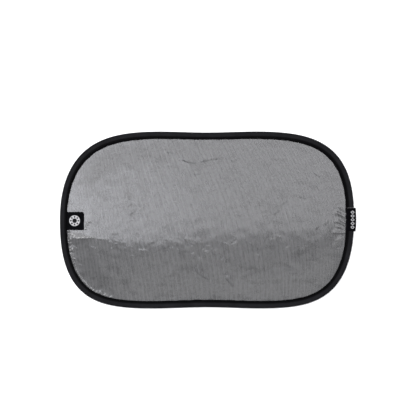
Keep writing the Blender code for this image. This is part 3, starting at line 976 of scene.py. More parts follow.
def panel_plan(columns, rows):
    """A grid of squares bent to fill the rim, as a flat bmesh."""
    sheet = bmesh.new()
    bmesh.ops.create_grid(sheet, x_segments=columns, y_segments=rows, size=1.0)
    u, v = np.array([vert.co[:2] for vert in sheet.verts]).T
    tuck_share = 2 * TUCKED_RINGS / columns
    out = np.maximum(np.maximum(np.abs(u), np.abs(v)), 1e-9)
    ring = np.minimum(out / (1 - tuck_share), 1.0)
    u, v = u / out * ring, v / out * ring
    u = u * (1 + COLUMN_CROWDING * (1 - u * u))
    size = np.maximum(np.maximum(np.abs(u), np.abs(v)), 1e-9)
    across, along = u / size, v / size
    sides = np.where(across > 0, along, 4 - along)
    ends = np.where(along > 0, 2 - across, 6 + across)
    turn = np.where(np.abs(u) >= np.abs(v), sides, ends)
    distance = np.interp(turn, (-1, 1, 3, 5, 7), PANEL_CORNERS)
    tucked = np.clip((out - 1 + tuck_share) / tuck_share, 0, 1)
    inset = PANEL_EDGE_INSET - tucked * (PANEL_EDGE_INSET - BAND_WIDTH + PANEL_TUCK)
    x, y = on_rim(distance, inset)
    for vert, place in zip(sheet.verts, zip(x * size, y * size)):
        vert.co = (*place, 0.0)
    return sheet


def cut_finer(sheet, creases):
    """Cuts each face whose middle a crease touches in four."""
    middles = np.array([face.calc_center_median()[:2] for face in sheet.faces])
    marks = touched(creases, middles[:, 0], middles[:, 1])
    chosen = [face for face, mark in zip(sheet.faces, marks) if mark and len(face.verts) == 4]
    edges = {edge for face in chosen for edge in face.edges}
    bmesh.ops.subdivide_edges(sheet, edges=list(edges), cuts=1, use_grid_fill=True)


# %% [markdown]
# ## The cloth's own threads
#
# The mesh's threads show through the film as faint lines. The sheet was pulled as it was sewn, so they lean
# over, lean more towards the upper right, and crowd at both ends. Straight lines in the shader would look
# printed. Instead each point is given its place on the unpulled cloth, as a UV map in metres, and the
# finishes read that map.

# %% Turn a plan into a cloth piece
LEAN = 0.298
LEAN_ALONG = 0.03
LEAN_BOW = -0.11
LEAN_ACROSS = 0.165
LEAN_TWIST = 0.14
LEAN_X = 200.0 * MM
LEAN_Y = 100.0 * MM
THREAD_CROWDING = 0.6


def grain_place(x, y):
    """Where each point lies on the unpulled cloth, in metres."""
    lean = LEAN + LEAN_ALONG * x / LEAN_X + LEAN_BOW * (x / LEAN_X) ** 2
    bend = (LEAN_ACROSS + LEAN_TWIST * x / LEAN_X) * y / (2 * LEAN_Y)
    across = x + y * (lean + bend)
    return across * (1 + THREAD_CROWDING / 3 * (across / LEAN_X) ** 2), y


def set_uv(mesh, name, per_corner):
    """Gives a mesh a UV map from one place for each face corner."""
    layer = mesh.uv_layers.new(name=name)
    layer.data.foreach_set("uv", np.asarray(per_corner, np.float32).ravel())


def corner_verts(mesh):
    """The point that each face corner stands on."""
    indices = np.empty(len(mesh.loops), np.int32)
    mesh.loops.foreach_get("vertex_index", indices)
    return indices


def new_piece(name, mesh, material):
    """An object for a mesh, smooth and in the scene."""
    piece = bpy.data.objects.new(name, mesh)
    mesh.materials.append(material)
    mesh.shade_smooth()
    bpy.context.scene.collection.objects.link(piece)
    return piece


def thicken(piece, thickness):
    """Grows a surface into a sheet, half to each side."""
    shell = piece.modifiers.new("Thickness", "SOLIDIFY")
    shell.thickness = thickness
    shell.offset = 0.0


def add_panel(name, sheet, level, creased, thickness, material):
    """Lifts a plan to its heights, gives it its grain and its thickness, and puts it in the frame."""
    x, y = np.array([vert.co[:2] for vert in sheet.verts]).T
    inset, distance = rim_place(x, y)
    height = level + large_relief(x, y, inset - PANEL_EDGE_INSET)
    if creased:
        height += small_relief(x, y, inset - band_width(distance))
    for vert, place in zip(sheet.verts, np.column_stack([x, y, height]) + HOOP_CENTRE):
        vert.co = place
    bmesh.ops.recalc_face_normals(sheet, faces=sheet.faces)
    mesh = bpy.data.meshes.new(name)
    sheet.to_mesh(mesh)
    sheet.free()
    grain = np.column_stack(grain_place(x, y))
    set_uv(mesh, GRAIN, grain[corner_verts(mesh)])
    piece = new_piece(name, mesh, material)
    thicken(piece, thickness)
    return piece


# %% Build the film and the mesh
FILM_GRID = (160, 102)
MESH_GRID = (130, 84)

film_plan = panel_plan(*FILM_GRID)
for creases in (SHARP_CREASES + FAINT_CREASES, SHARP_CREASES, NARROW_CREASES):
    cut_finer(film_plan, creases)
film = add_panel("tinted_film", film_plan, FILM_LEVEL, True, FILM_THICKNESS, FILM)
net = add_panel("backing_mesh", panel_plan(*MESH_GRID), MESH_LEVEL, False, MESH_THICKNESS, NET)
print("film", len(film.data.vertices), "points, mesh", len(net.data.vertices), "points")

# %% [markdown]
# ## The folded tape
#
# One strip of tape is folded over the wire, laid on both sides of the sheet and sewn through. It could be a
# curve with a bevel, but its section changes on the way: it lifts over the tab, sinks under the wrapped
# ribbon, opens over the sleeve, and wanders in width. So it is lofted, one section every
# millimetre or so, with each number of the section worked out from the distance along the rim.

# %% The tape's section
TAPE_STATIONS = 1200
ROLL_SLACK = 0.12 * MM
PUCKER_PITCH = 6.0 * MM
PUCKER_SHARE = 0.1
FLANK_POWER = 2.6
FLANK_ROUND = 1 / 1.6
# Where the flank starts to count as pressed, which also starts its painted shade
PRESSED_AND_SHADED_FROM = 0.55
PRESSED_AND_SHADED_OVER = 0.4
MOUTH_REACH = 1.25
# Where the section has its points: turns in degrees, and shares of the way across
LIP_TURNS = (0, 30, 60, 90)
GROOVE_SHARES = (0.9, 0.6, 0.3, 0.0)
FLANK_SHARES = (0.99, 0.96, 0.91, 0.84, 0.75, 0.64, 0.52, 0.4, 0.28, 0.15, 0.0)
NOSE_TURNS = (76, 62, 48, 34, 22, 11)
CHANNEL_TURNS = (270, 240, 210, 180, 150, 120, 90)


def tape_side(distance, roof, lift, seed):
    """One side of the tape from the lip's edge to the nose: rows of (inset, height, pressing and painted
    shade).
    """
    width = band_width(distance)
    slot = SLOT_HEIGHT / 2 + lift
    groove = slot + SEAM_WALL
    pucker = PUCKER_SHARE * np.sin(2 * math.pi * distance / PUCKER_PITCH)
    lip = slot + LIP_WALL * (1 + pucker * wander(distance, waves=60, seed=seed))
    rows = []
    for turn in np.radians(LIP_TURNS):
        rows.append((width - LIP_ROUND * (1 - math.cos(turn)), lip - LIP_ROUND * (1 - math.sin(turn)), 1.0))
    for share in GROOVE_SHARES:
        depth = 0.5 + 0.5 * math.cos(math.pi * share)
        rows.append((SEAM_INSET + SEAM_WIDTH * share, lip + (groove - lip) * depth, 1.0))
    for share in FLANK_SHARES:
        inset = WIRE_INSET + share * (SEAM_INSET - WIRE_INSET)
        swell = (1 - share**FLANK_POWER) ** FLANK_ROUND
        # How pressed the flank is, which also darkens its colour as painted shade
        pressed_and_shaded = float(ease((share - PRESSED_AND_SHADED_FROM) / PRESSED_AND_SHADED_OVER))
        rows.append((inset, groove + (roof - groove) * swell, pressed_and_shaded))
    for turn in np.radians(NOSE_TURNS):
        rows.append((WIRE_INSET * (1 - math.cos(turn)), roof * math.sin(turn), 0.0))
    return [np.broadcast_arrays(inset, height, pressed_and_shaded, distance)[:3] for inset, height, pressed_and_shaded in rows]


def tape_section(distance):
    """The folded tape's closed outline at each distance along the rim."""
    slack = ROLL_SLACK * (1 + wander(distance, waves=30, seed=8)) / 2
    roof = ROLL_HEIGHT / 2 - slack - WRAP_STACK * patch(distance, WRAP_AT, WRAP_WIDTH)
    lift = TAB_STACK * patch(distance, TAB_AT, TAB_WIDTH)
    joint = patch(distance, FERRULE_AT, FERRULE_LENGTH)
    channel = WIRE_DIAMETER / 2 + (FERRULE_RADIUS - WIRE_DIAMETER / 2) * joint + CLEARANCE
    mouth = WIRE_INSET + MOUTH_REACH * channel
    width = band_width(distance)
    upper = tape_side(distance, roof, lift, seed=21)
    below = reversed(tape_side(distance, roof, 0.0, seed=22))
    lower = [(inset, -height, pressed_and_shaded) for inset, height, pressed_and_shaded in below]
    inside = [(width, -SLOT_HEIGHT / 2), (mouth, -SLOT_HEIGHT / 2)]
    for turn in np.radians(CHANNEL_TURNS):
        inside.append((WIRE_INSET + channel * math.cos(turn), channel * math.sin(turn)))
    slot_top = SLOT_HEIGHT / 2 + lift
    inside += [(mouth, SLOT_HEIGHT / 2), (BAND_WIDTH - TAB_TUCK - CLEARANCE, slot_top), (width, slot_top)]
    inside = [np.broadcast_arrays(inset, height, 1.0, distance)[:3] for inset, height in inside]
    nose = [np.broadcast_arrays(0.0, 0.0, 0.0, distance)[:3]]
    return np.array(upper + nose + lower + inside).transpose(2, 0, 1)


# %% Loft the tape
def tape_stations():
    """Even steps along the rim from the tape's own joint, which the wrapped ribbon hides."""
    return WRAP_AT + TAPE_END_GAP / 2 + np.linspace(0.0, RIM_LENGTH - TAPE_END_GAP, TAPE_STATIONS)


def add_tape():
    """Joins the sections into one closed mesh, with its UV map and its pressed, painted-shade places."""
    distance = tape_stations()
    section = tape_section(distance)
    count = section.shape[1]
    x, y = on_rim(distance[:, None], section[:, :, 0])
    points = np.stack([x, y, section[:, :, 1]], axis=2) + HOOP_CENTRE
    first = np.arange(TAPE_STATIONS - 1)[:, None] * count
    here = np.arange(count)
    after = (here + 1) % count
    quads = np.stack([first + here, first + after, first + count + after, first + count + here], axis=2)
    last = (TAPE_STATIONS - 1) * count
    faces = quads.reshape(-1, 4).tolist() + [list(range(count)), list(range(last + count - 1, last - 1, -1))]
    mesh = bpy.data.meshes.new("folded_tape")
    mesh.from_pydata(points.reshape(-1, 3).tolist(), [], faces)
    steps = np.linalg.norm(section[0, :, :2] - np.roll(section[0, :, :2], 1, axis=0), axis=1)
    round_fold = np.concatenate([[0.0], np.cumsum(steps[1:]), [steps.sum()]])
    here_and_next = [distance[:-1], distance[:-1], distance[1:], distance[1:]]
    along = np.repeat(np.stack(here_and_next, axis=1), count, axis=0)
    across = round_fold[np.stack([here, here + 1, here + 1, here], axis=1)]
    corners = np.stack([along, np.tile(across, (TAPE_STATIONS - 1, 1))], axis=2).reshape(-1, 2)
    set_uv(mesh, CLOTH, np.vstack([corners, np.zeros((2 * count, 2))]))
    # How pressed each point is. The finish darkens these places as painted shade
    pressed_and_shaded = mesh.attributes.new(PRESSED_AND_SHADED, "FLOAT", "POINT")
    pressed_and_shaded.data.foreach_set("value", section[:, :, 2].ravel().astype(np.float32))
    square_up(mesh)
    return new_piece("folded_tape", mesh, TAPE)


def square_up(mesh):
    """Turns every face outwards."""
    shape = bmesh.new()
    shape.from_mesh(mesh)
    bmesh.ops.recalc_face_normals(shape, faces=shape.faces)
    shape.to_mesh(mesh)
    shape.free()


tape = add_tape()
print("tape", len(tape.data.polygons), "faces")

# %% [markdown]
# ## The two labels
#
# Each label is one flat ribbon folded once. A thin box would give its outline, but not the soft turn at its
# fold, nor a weave that goes round it. The tab at the left has both its ends in the seam. The ribbon at the
# right is folded round the rim. Both are grids whose first direction runs through the fold, so that the UV
# map is the ribbon laid flat, in metres, and its weave turns the fold without a seam.


# %% A folded ribbon
TAB_FOLD_SHARE = 0.12
WRAP_FOLD_SHARE = 0.4


def folded_path(u, fold_share):
    """Along a ribbon folded double: the share of a leaf past the fold, and the turn round the fold."""
    leaf = np.maximum(np.abs(u) - fold_share, 0) / (1 - fold_share)
    return leaf, np.clip(u / fold_share, -1, 1) * math.pi / 2


def add_ribbon(name, grid, place, thickness, flat):
    """A ribbon of a flat width and length, put where place says."""
    columns, rows = grid
    sides = np.meshgrid(np.linspace(-1, 1, columns), np.linspace(-1, 1, rows), indexing="ij")
    u, v = (side.ravel() for side in sides)
    points = np.column_stack(place(u, v)) + HOOP_CENTRE
    corner = (np.arange(columns - 1)[:, None] * rows + np.arange(rows - 1)).ravel()
    faces = np.column_stack([corner, corner + rows, corner + rows + 1, corner + 1])
    mesh = bpy.data.meshes.new(name)
    mesh.from_pydata(points.tolist(), [], faces.tolist())
    cloth = np.column_stack([v * flat[0] / 2, u * flat[1] / 2])
    set_uv(mesh, CLOTH, cloth[corner_verts(mesh)])
    piece = new_piece(name, mesh, RIBBON)
    thicken(piece, thickness)
    return piece


# %% The square tab
TAB_CORNER = 2.8 * MM
TAB_CORNER_SHARE = 0.17
TAB_BELLY = 0.25 * MM
TAB_FLAT = (TAB_WIDTH, 2 * (TAB_LENGTH - BAND_WIDTH + TAB_TUCK))
TAB_GRID = (72, 32)


def tab_place(u, v):
    """One leaf lies on the film, the other comes back over it. The fold's upper corner is dog-eared."""
    leaf, turn = folded_path(u, TAB_FOLD_SHARE)
    bend = (TAB_RIBBON + TAB_LAYER_GAP) / 2
    dog_ear = TAB_CORNER * np.clip((v - 1 + TAB_CORNER_SHARE) / TAB_CORNER_SHARE, 0, 1)
    fold_x = TAB_LENGTH - bend - TAB_RIBBON / 2 - dog_ear
    x = fold_x - leaf * (fold_x - BAND_WIDTH + TAB_TUCK) + bend * np.cos(turn) - SHADE_LENGTH / 2
    y = TAB_OFFSET + v * TAB_WIDTH / 2
    level = FILM_LEVEL + FILM_THICKNESS / 2 + CLEARANCE + TAB_RIBBON / 2 + bend
    belly = TAB_BELLY * np.sin(math.pi * np.clip(1 - leaf, 0, 1)) * (1 - v * v) * (u > 0)
    under = large_relief(x, y, rim_place(x, y)[0] - PANEL_EDGE_INSET)
    return x, y, level + bend * np.sin(turn) + belly + under


# %% The wrapped ribbon
WRAP_TURN = 2.0 * MM
WRAP_FLAT = (WRAP_WIDTH, 2 * (BAND_WIDTH + WRAP_OVERHANG) + WRAP_TURN)
WRAP_GRID = (64, 44)


def wrap_place(u, v):
    """A leaf above and below the rim, and a fold that stands out past it."""
    leaf, turn = folded_path(u, WRAP_FOLD_SHARE)
    overhang = WRAP_OVERHANG - WRAP_RIBBON / 2 - WRAP_END_DRAW * v * v
    inset = leaf * (BAND_WIDTH - WRAP_EDGE) - overhang * np.cos(turn)
    height = (ROLL_HEIGHT - WRAP_RIBBON) / 2 * np.sin(turn)
    x, y = on_rim(WRAP_AT + v * WRAP_WIDTH / 2, inset)
    return x, y, height


side_tab = add_ribbon("side_tab", TAB_GRID, tab_place, TAB_RIBBON, TAB_FLAT)
edge_ribbon = add_ribbon("edge_ribbon", WRAP_GRID, wrap_place, WRAP_RIBBON, WRAP_FLAT)
print("labels", side_tab.name, edge_ribbon.name)

# %% [markdown]
# ## Rows of stitches
#
# The seam is one thread dashed along the groove, on both faces of the shade. Nearly a thousand stitches are
# the same bead turned to follow a line, which is what Geometry Nodes are for. The tree takes the line, the
# pitch, the length and the thickness, so the same tree also sews the pale whip stitches over the wrapped
# ribbon's upper end.


# %% Geometry Nodes: stitches along a line
def new_geometry_tree(name, inputs):
    """A Geometry Nodes tree that takes geometry and its inputs, and gives geometry."""
    shape = ("Geometry", "NodeSocketGeometry")
    return new_tree("GeometryNodeTree", name, ((*shape, None), *inputs), (shape,))


def finish_tree(tree, start, end, geometry):
    """Every tree ends alike: real geometry, with its material."""
    real = made(tree, "GeometryNodeRealizeInstances", {"Geometry": geometry})
    inputs = {"Geometry": real, "Material": start.outputs["Material"]}
    tree.links.new(made(tree, "GeometryNodeSetMaterial", inputs), end.inputs["Geometry"])


def even_points(tree, start):
    """Points at even steps along the line that the tree is given."""
    line = made(tree, "GeometryNodeMeshToCurve", {"Mesh": start.outputs["Geometry"]})
    inputs = {"Curve": line, "Length": start.outputs["Pitch"]}
    return made(tree, "GeometryNodeResampleCurve", inputs, mode="LENGTH")


def scaled(tree, geometry, x, y, z):
    """A shape made longer or shorter along each axis."""
    size = made(tree, "ShaderNodeCombineXYZ", {0: x, 1: y, 2: z})
    return made(tree, "GeometryNodeTransform", {"Geometry": geometry, "Scale": size})


def turned_along(tree, vector):
    """The turn that points the X axis along a vector."""
    return made(tree, "FunctionNodeAlignRotationToVector", {"Vector": vector}, axis="X")


def stitch_tree():
    sockets = (
        ("Pitch", "NodeSocketFloat", 3 * MM),
        ("Stitch Length", "NodeSocketFloat", 2.4 * MM),
        ("Thread Width", "NodeSocketFloat", 0.5 * MM),
        ("Slant", "NodeSocketFloat", 0.0),
        ("Unevenness", "NodeSocketFloat", 0.06),
        ("Seed", "NodeSocketInt", 1),
        ("Material", "NodeSocketMaterial", None),
    )
    tree, start, end = new_geometry_tree("stitches_along_a_line", sockets)
    given = start.outputs
    bead = made(tree, "GeometryNodeMeshUVSphere", {"Segments": 6, "Rings": 5, "Radius": 0.5})
    stitch = scaled(tree, bead, given["Stitch Length"], given["Thread Width"], given["Thread Width"])
    along = turned_along(tree, made(tree, "GeometryNodeInputTangent"))
    least = calc(tree, "MULTIPLY", given["Unevenness"], -1.0)
    limits = {"Min": least, "Max": given["Unevenness"], "Seed": given["Seed"]}
    jitter = add(tree, "FunctionNodeRandomValue", limits).outputs[1]
    slant = made(tree, "ShaderNodeCombineXYZ", {2: calc(tree, "ADD", jitter, given["Slant"])})
    turns = {"Rotation": along, "Rotate By": slant}
    turned = made(tree, "FunctionNodeRotateRotation", turns, rotation_space="LOCAL")
    inputs = {"Points": even_points(tree, start), "Instance": stitch, "Rotation": turned}
    finish_tree(tree, start, end, made(tree, "GeometryNodeInstanceOnPoints", inputs))
    return tree


STITCHES = stitch_tree()


# %% Run a tree on a line, and keep plain mesh
def grow(name, points, closed, tree, **values):
    """A piece made by a tree from a line of points, as plain mesh."""
    count = len(points)
    edges = [(k, (k + 1) % count) for k in range(count if closed else count - 1)]
    line = bpy.data.meshes.new(name)
    line.from_pydata(np.asarray(points).tolist(), edges, [])
    piece = bpy.data.objects.new(name, line)
    bpy.context.scene.collection.objects.link(piece)
    modifier = piece.modifiers.new("Grow", "NODES")
    modifier.node_group = tree
    sockets = {item.name: item.identifier for item in tree.interface.items_tree if item.in_out == "INPUT"}
    for label, value in values.items():
        modifier[sockets[label.replace("_", " ").title()]] = value
    graph = bpy.context.evaluated_depsgraph_get()
    mesh = bpy.data.meshes.new_from_object(piece.evaluated_get(graph))
    piece.modifiers.clear()
    piece.data = mesh
    mesh.name = name
    mesh.shade_smooth()
    return piece


# %% Sew the two seams
SEAM_PITCH = 3.0 * MM
SEAM_STITCH = 2.5 * MM
SEAM_THREAD = 0.55 * MM
SEAM_LINE_POINTS = 900
THREAD_LIFT = 0.35


def seam_line(side):
    """The groove's bottom all the way round, on the upper face (side 1) or the lower one (side -1)."""
    distance = np.linspace(0.0, RIM_LENGTH, SEAM_LINE_POINTS, endpoint=False)
    lift = TAB_STACK * patch(distance, TAB_AT, TAB_WIDTH) * (side > 0)
    height = side * (SLOT_HEIGHT / 2 + lift + SEAM_WALL + SEAM_THREAD * THREAD_LIFT)
    return np.column_stack([*on_rim(distance, SEAM_INSET), height]) + HOOP_CENTRE


seams = [
    grow(
        name,
        seam_line(side),
        True,
        STITCHES,
        pitch=SEAM_PITCH,
        stitch_length=SEAM_STITCH,
        thread_width=SEAM_THREAD,
        seed=seed,
        material=BLACK_THREAD,
    )
    for name, side, seed in (("upper_seam", 1, 4), ("lower_seam", -1, 9))
]
print("seams", [len(seam.data.polygons) for seam in seams], "faces")

# %% Whip stitches over the wrapped ribbon's upper end
WHIP_INSETS = np.linspace(0.3, 11.6, 24) * MM
WHIP_PITCH = 0.9 * MM
WHIP_STITCH = 1.1 * MM
WHIP_THREAD = 0.45 * MM
WHIP_SLANT = math.radians(60)
WHIP_BESIDE = 0.2 * MM
WHIP_SINK = 0.6 * MM
WHIP_PROUD = 0.05 * MM


def roll_roof(inset):
    """The height of the tape's upper face beside the wrapped ribbon."""
    share = np.clip((inset - WIRE_INSET) / (SEAM_INSET - WIRE_INSET), 0, 1)
    groove = SLOT_HEIGHT / 2 + SEAM_WALL
    flank = groove + (ROLL_HEIGHT / 2 - groove) * (1 - share**FLANK_POWER) ** FLANK_ROUND
    nose = ROLL_HEIGHT / 2 * np.sqrt(np.clip(1 - (1 - inset / WIRE_INSET) ** 2, 0, 1))
    return np.where(inset < WIRE_INSET, nose, flank)


whip_x, whip_y = on_rim(WRAP_AT + WRAP_WIDTH / 2 + WHIP_BESIDE, WHIP_INSETS)
whip_height = np.maximum(roll_roof(WHIP_INSETS), ROLL_HEIGHT / 2 - WHIP_SINK) + WHIP_PROUD
whip_stitches = grow(
    "ribbon_end_stitches",
    np.column_stack([whip_x, whip_y, whip_height]) + HOOP_CENTRE,
    False,
    STITCHES,
    pitch=WHIP_PITCH,
    stitch_length=WHIP_STITCH,
    thread_width=WHIP_THREAD,
    slant=WHIP_SLANT,
    seed=2,
    material=GREY_THREAD,
)
print("whip stitches", len(whip_stitches.data.polygons), "faces")

# %% [markdown]
# ## Woven marks
#
# The labels carry plain ornament: a white round with a black sun on the tab, and a row of open white
# diamonds on the ribbon. It could be painted in the shader, but brocaded thread stands a little proud and
# catches light of its own. So the round is a disc of rings, the sun and the diamonds are grown flat by
# Geometry Nodes, and all are laid on their ribbons point by point with the ribbons' own formulas, so that
# they bend with the cloth.


# %% Geometry Nodes: a row of open diamonds
def diamond_tree():
    sockets = (
        ("Pitch", "NodeSocketFloat", 3.7 * MM),
        ("Diamond Width", "NodeSocketFloat", 4.8 * MM),
        ("Diamond Height", "NodeSocketFloat", 3.7 * MM),
        ("Thread Width", "NodeSocketFloat", 1.0 * MM),
        ("Thread Height", "NodeSocketFloat", 0.08 * MM),
        ("Material", "NodeSocketMaterial", None),
    )
    tree, start, end = new_geometry_tree("open_diamonds_in_a_row", sockets)
    given = start.outputs
    corners = made(tree, "GeometryNodeCurvePrimitiveCircle", {"Resolution": 4, "Radius": 0.5})
    outline = scaled(tree, corners, given["Diamond Width"], given["Diamond Height"], 1.0)
    fine = made(tree, "GeometryNodeResampleCurve", {"Curve": outline, "Count": 16}, mode="COUNT")
    band = {"Width": given["Thread Width"], "Height": given["Thread Height"]}
    profile = made(tree, "GeometryNodeCurvePrimitiveQuadrilateral", band, mode="RECTANGLE")
    diamond = made(tree, "GeometryNodeCurveToMesh", {"Curve": fine, "Profile Curve": profile})
    inputs = {"Points": even_points(tree, start), "Instance": diamond}
    finish_tree(tree, start, end, made(tree, "GeometryNodeInstanceOnPoints", inputs))
    return tree


# %% Geometry Nodes: rays in a ring
def ray_tree():
    sockets = (
        ("Rays", "NodeSocketInt", 8),
        ("Ring Radius", "NodeSocketFloat", 6.5 * MM),
        ("Ray Length", "NodeSocketFloat", 2.9 * MM),
        ("Ray Width", "NodeSocketFloat", 2.6 * MM),
        ("Disc Radius", "NodeSocketFloat", 4.0 * MM),
        ("Thread Height", "NodeSocketFloat", 0.1 * MM),
        ("Material", "NodeSocketMaterial", None),
    )
    tree, start, end = new_geometry_tree("sun_with_rays", sockets)
    given = start.outputs
    ring = {"Vertices": given["Rays"], "Radius": given["Ring Radius"]}
    points = made(tree, "GeometryNodeMeshCircle", ring)
    sides = {0: given["Ray Length"], 1: given["Ray Width"], 2: given["Thread Height"]}
    size = made(tree, "ShaderNodeCombineXYZ", sides)
    ray = made(tree, "GeometryNodeMeshCube", {"Size": size, "Vertices X": 4, "Vertices Y": 3})
    outwards = turned_along(tree, made(tree, "GeometryNodeInputPosition"))
    inputs = {"Points": points, "Instance": ray, "Rotation": outwards}
    rays = made(tree, "GeometryNodeInstanceOnPoints", inputs)
    round_shape = {"Vertices": 40, "Radius": given["Disc Radius"], "Depth": given["Thread Height"]}
    disc = made(tree, "GeometryNodeMeshCylinder", round_shape, fill_type="TRIANGLE_FAN")
    both = tree.nodes.new("GeometryNodeJoinGeometry")
    tree.links.new(rays, both.inputs[0])
    tree.links.new(disc, both.inputs[0])
    finish_tree(tree, start, end, both.outputs[0])
    return tree


# %% Lay the marks on their ribbons
def lay_on(piece, place):
    """Moves each point of a flat mark to where place(x, y) puts it, with its own height added."""
    points = np.empty(len(piece.data.vertices) * 3)
    piece.data.vertices.foreach_get("co", points)
    points = points.reshape(-1, 3)
    x, y, z = place(points[:, 0], points[:, 1])
    laid = np.column_stack([x, y, z + points[:, 2]]) + HOOP_CENTRE
    piece.data.vertices.foreach_set("co", laid.ravel())
    square_up(piece.data)
    piece.data.set_sharp_from_angle(angle=math.radians(40))
    return piece


MARK_HEIGHT = 0.06 * MM
SUN_CENTRE = (-224.4 * MM, -1.4 * MM)
SUN_ROUND = 9.1 * MM
ROUND_RINGS = 7
ROUND_TURNS = 48
DIAMONDS = 6
DIAMOND_PITCH = 5.1 * MM
DIAMOND_WIDTH = 5.6 * MM
DIAMOND_HEIGHT = 4.6 * MM
DIAMOND_THREAD = 0.9 * MM
DIAMONDS_INSET = 2.5 * MM
DIAMONDS_SHIFT = -0.4 * MM


def on_tab(x, y):
    """The tab's upper face above a point, for a mark drawn about its own middle."""
    x = x + SUN_CENTRE[0]
    y = y + SUN_CENTRE[1]
    fold_x = TAB_LENGTH - TAB_LAYER_GAP / 2 - TAB_RIBBON - SHADE_LENGTH / 2
    leaf = (fold_x - x) / (TAB_LENGTH - BAND_WIDTH + TAB_TUCK)
    v = (y - TAB_OFFSET) * 2 / TAB_WIDTH
    _, _, middle = tab_place(TAB_FOLD_SHARE + leaf * (1 - TAB_FOLD_SHARE), v)
    return x, y, middle + TAB_RIBBON / 2


def on_wrap(x, y):
    """The wrapped ribbon's upper face: x runs out over the rim from the marks' middle, y along it."""
    inset = DIAMONDS_INSET - x
    drop = np.clip(-inset / (WRAP_OVERHANG - WRAP_RIBBON / 2), 0, 1)
    plan_x, plan_y = on_rim(WRAP_AT + y, inset)
    return plan_x, plan_y, (ROLL_HEIGHT - WRAP_RIBBON) / 2 * np.sqrt(1 - drop**2) + WRAP_RIBBON / 2


def round_mark(name, radius, height, material):
    """A thin closed disc made of rings, so that it can bend with the cloth under it."""
    rings = np.linspace(0.0, radius, ROUND_RINGS + 1)[1:]
    profile = [(ring, height) for ring in rings] + [(ring, -height) for ring in rings[::-1]]
    shape = bmesh.new()
    turns = np.linspace(0.0, 2 * math.pi, ROUND_TURNS, endpoint=False)
    loops = [[shape.verts.new((r * math.cos(a), r * math.sin(a), z)) for a in turns] for r, z in profile]
    for inner, outer in zip(loops, loops[1:]):
        for k in range(len(turns)):
            far = (k + 1) % len(turns)
            shape.faces.new((inner[k], inner[far], outer[far], outer[k]))
    shape.faces.new(loops[0])
    shape.faces.new(loops[-1])
    mesh = bpy.data.meshes.new(name)
    shape.to_mesh(mesh)
    shape.free()
    return new_piece(name, mesh, material)


white_round = lay_on(round_mark("white_round", SUN_ROUND, MARK_HEIGHT, WHITE_THREAD), on_tab)
# The sun's tree makes its own shape, so the line it is given is only a start
sun_line = [(0, 0, 0), (MM, 0, 0)]
sun = grow("woven_sun", sun_line, False, ray_tree(), thread_height=3 * MARK_HEIGHT, material=BLACK_THREAD)
lay_on(sun, on_tab)
half_row = DIAMOND_PITCH * (DIAMONDS - 1) / 2
diamonds = grow(
    "woven_diamonds",
    [(0, DIAMONDS_SHIFT - half_row, 0), (0, DIAMONDS_SHIFT + half_row, 0)],
    False,
    diamond_tree(),
    pitch=DIAMOND_PITCH,
    diamond_width=DIAMOND_WIDTH,
    diamond_height=DIAMOND_HEIGHT,
    thread_width=DIAMOND_THREAD,
    thread_height=2 * MARK_HEIGHT,
    material=WHITE_THREAD,
)
lay_on(diamonds, on_wrap)
print("marks", white_round.name, sun.name, diamonds.name)

# %% [markdown]
# ## Ride and replace
#
# The shade has one body. Its only movement is the bending of the whole hoop, when it is twisted into
# smaller loops to store, and no hinge could stand for that. Every piece rides on the one body, and the CAD
# solid that it replaces is hidden.


# %% Ride and replace
RIDES = (
    (tape, "binding_tape", ["edge_binding"]),
    (film, "film", ["cling_film"]),
    (net, "mesh", ["mesh_fabric"]),
    (side_tab, "label_ribbon", ["side_label"]),
    (edge_ribbon, "label_ribbon", ["edge_label"]),
    (seams[0], "binding_tape", []),
    (seams[1], "binding_tape", []),
    (whip_stitches, "label_ribbon", []),
    (white_round, "label_ribbon", []),
    (sun, "label_ribbon", []),
    (diamonds, "label_ribbon", []),
)
for piece, finish, replaced in RIDES:
    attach(piece, "root")
    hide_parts(*replaced)

# %% [markdown]
# ## The studio
#
# The shade lies on a white floor and is seen from straight above through a long lens. Its glossy film works
# as a dim mirror, so its greys are the lights that its slopes see, and one light overhead would give one
# flat grey. Here a wide softbox hangs over the far side with its near edge almost overhead, so that only
# the slope that leans that way mirrors it. A dim strip and an oval light soften where it ends. A narrow
# bright light gives the sheen round the tab, and a low panel lifts the slope at the lower right. Two strong
# lights farther out are seen only by steep crinkles, as glints. A pale room fills the rest.

# %% Floor and lights
FLOOR_HALF = 6.0
LIGHT_LEVEL = 2.4
SURROUND = 0.5
WHITE = (1.0, 1.0, 1.0)
COOL = (0.97, 0.97, 1.0)
BLUISH = (0.9, 0.92, 1.0)
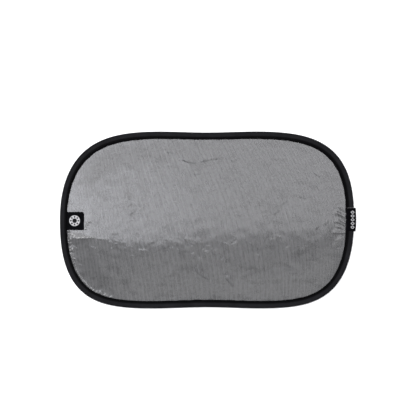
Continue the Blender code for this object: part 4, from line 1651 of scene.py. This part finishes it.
# Each light: name, outline, middle across and along, size across and along, brightness, colour
LIGHTS = (
    ("softbox", "RECTANGLE", (0.2, 0.54), (3.2, 1.2), 3.5, COOL),
    ("near_strip", "RECTANGLE", (0.3, 0.1), (3.0, 0.32), 1.1, COOL),
    ("far_end", "ELLIPSE", (1.1, 0.16), (1.1, 0.44), 1.1, COOL),
    ("bright_spot", "ELLIPSE", (-0.86, 0.07), (1.5, 0.16), 21.5, BLUISH),
    ("low_panel", "RECTANGLE", (0.85, -0.66), (2.4, 0.68), 1.45, WHITE),
    ("spark", "RECTANGLE", (-0.75, 1.45), (1.6, 0.5), 17.0, WHITE),
    ("spark", "RECTANGLE", (-1.85, 0.7), (0.4, 1.2), 24.0, WHITE),
)


def add_floor():
    mesh = bpy.data.meshes.new("floor")
    corners = [(x * FLOOR_HALF, y * FLOOR_HALF, 0) for x, y in ((-1, -1), (1, -1), (1, 1), (-1, 1))]
    mesh.from_pydata(corners, [], [(0, 1, 2, 3)])
    material, tree, shader = new_material("white_floor", roughness=0.9, specular=0.1)
    dress(tree, shader, blend(tree, noise(tree, own_place(tree), 3.0), (0.93,) * 3, (0.95,) * 3))
    new_piece("floor", mesh, material)


def add_light(name, outline, middle, size, radiance, colour):
    """A flat light that faces straight down."""
    light = bpy.data.lights.new(name, "AREA")
    light.shape = outline
    light.size, light.size_y = size
    share = math.pi / 4 if outline == "ELLIPSE" else 1.0
    light.energy = radiance * math.pi * share * size[0] * size[1]
    light.color = colour
    lamp = bpy.data.objects.new(name, light)
    lamp.location = (*middle, LIGHT_LEVEL)
    bpy.context.scene.collection.objects.link(lamp)


def add_room():
    world = bpy.data.worlds.new("pale_room")
    world.use_nodes = True
    surround = world.node_tree.nodes["Background"]
    surround.inputs["Color"].default_value = (*WHITE, 1.0)
    surround.inputs["Strength"].default_value = SURROUND
    bpy.context.scene.world = world


add_floor()
for light in LIGHTS:
    add_light(*light)
add_room()
print(len(LIGHTS), "lights")

# %% Camera
CAMERA_HEIGHT = 2.5
FRAME_WIDTH = 706.3 * MM
FRAME_CENTRE = (0.0, 20.3 * MM)


def add_camera():
    lens = bpy.data.cameras.new("overhead")
    lens.lens = lens.sensor_width * (CAMERA_HEIGHT - HOOP_CENTRE[2]) / FRAME_WIDTH
    camera = bpy.data.objects.new("overhead", lens)
    camera.location = (*FRAME_CENTRE, CAMERA_HEIGHT)
    bpy.context.scene.collection.objects.link(camera)
    bpy.context.scene.camera = camera
    bpy.context.scene.view_settings.view_transform = "Standard"
    return camera


camera = add_camera()
print(f"The lens is {camera.data.lens:.0f} mm long")
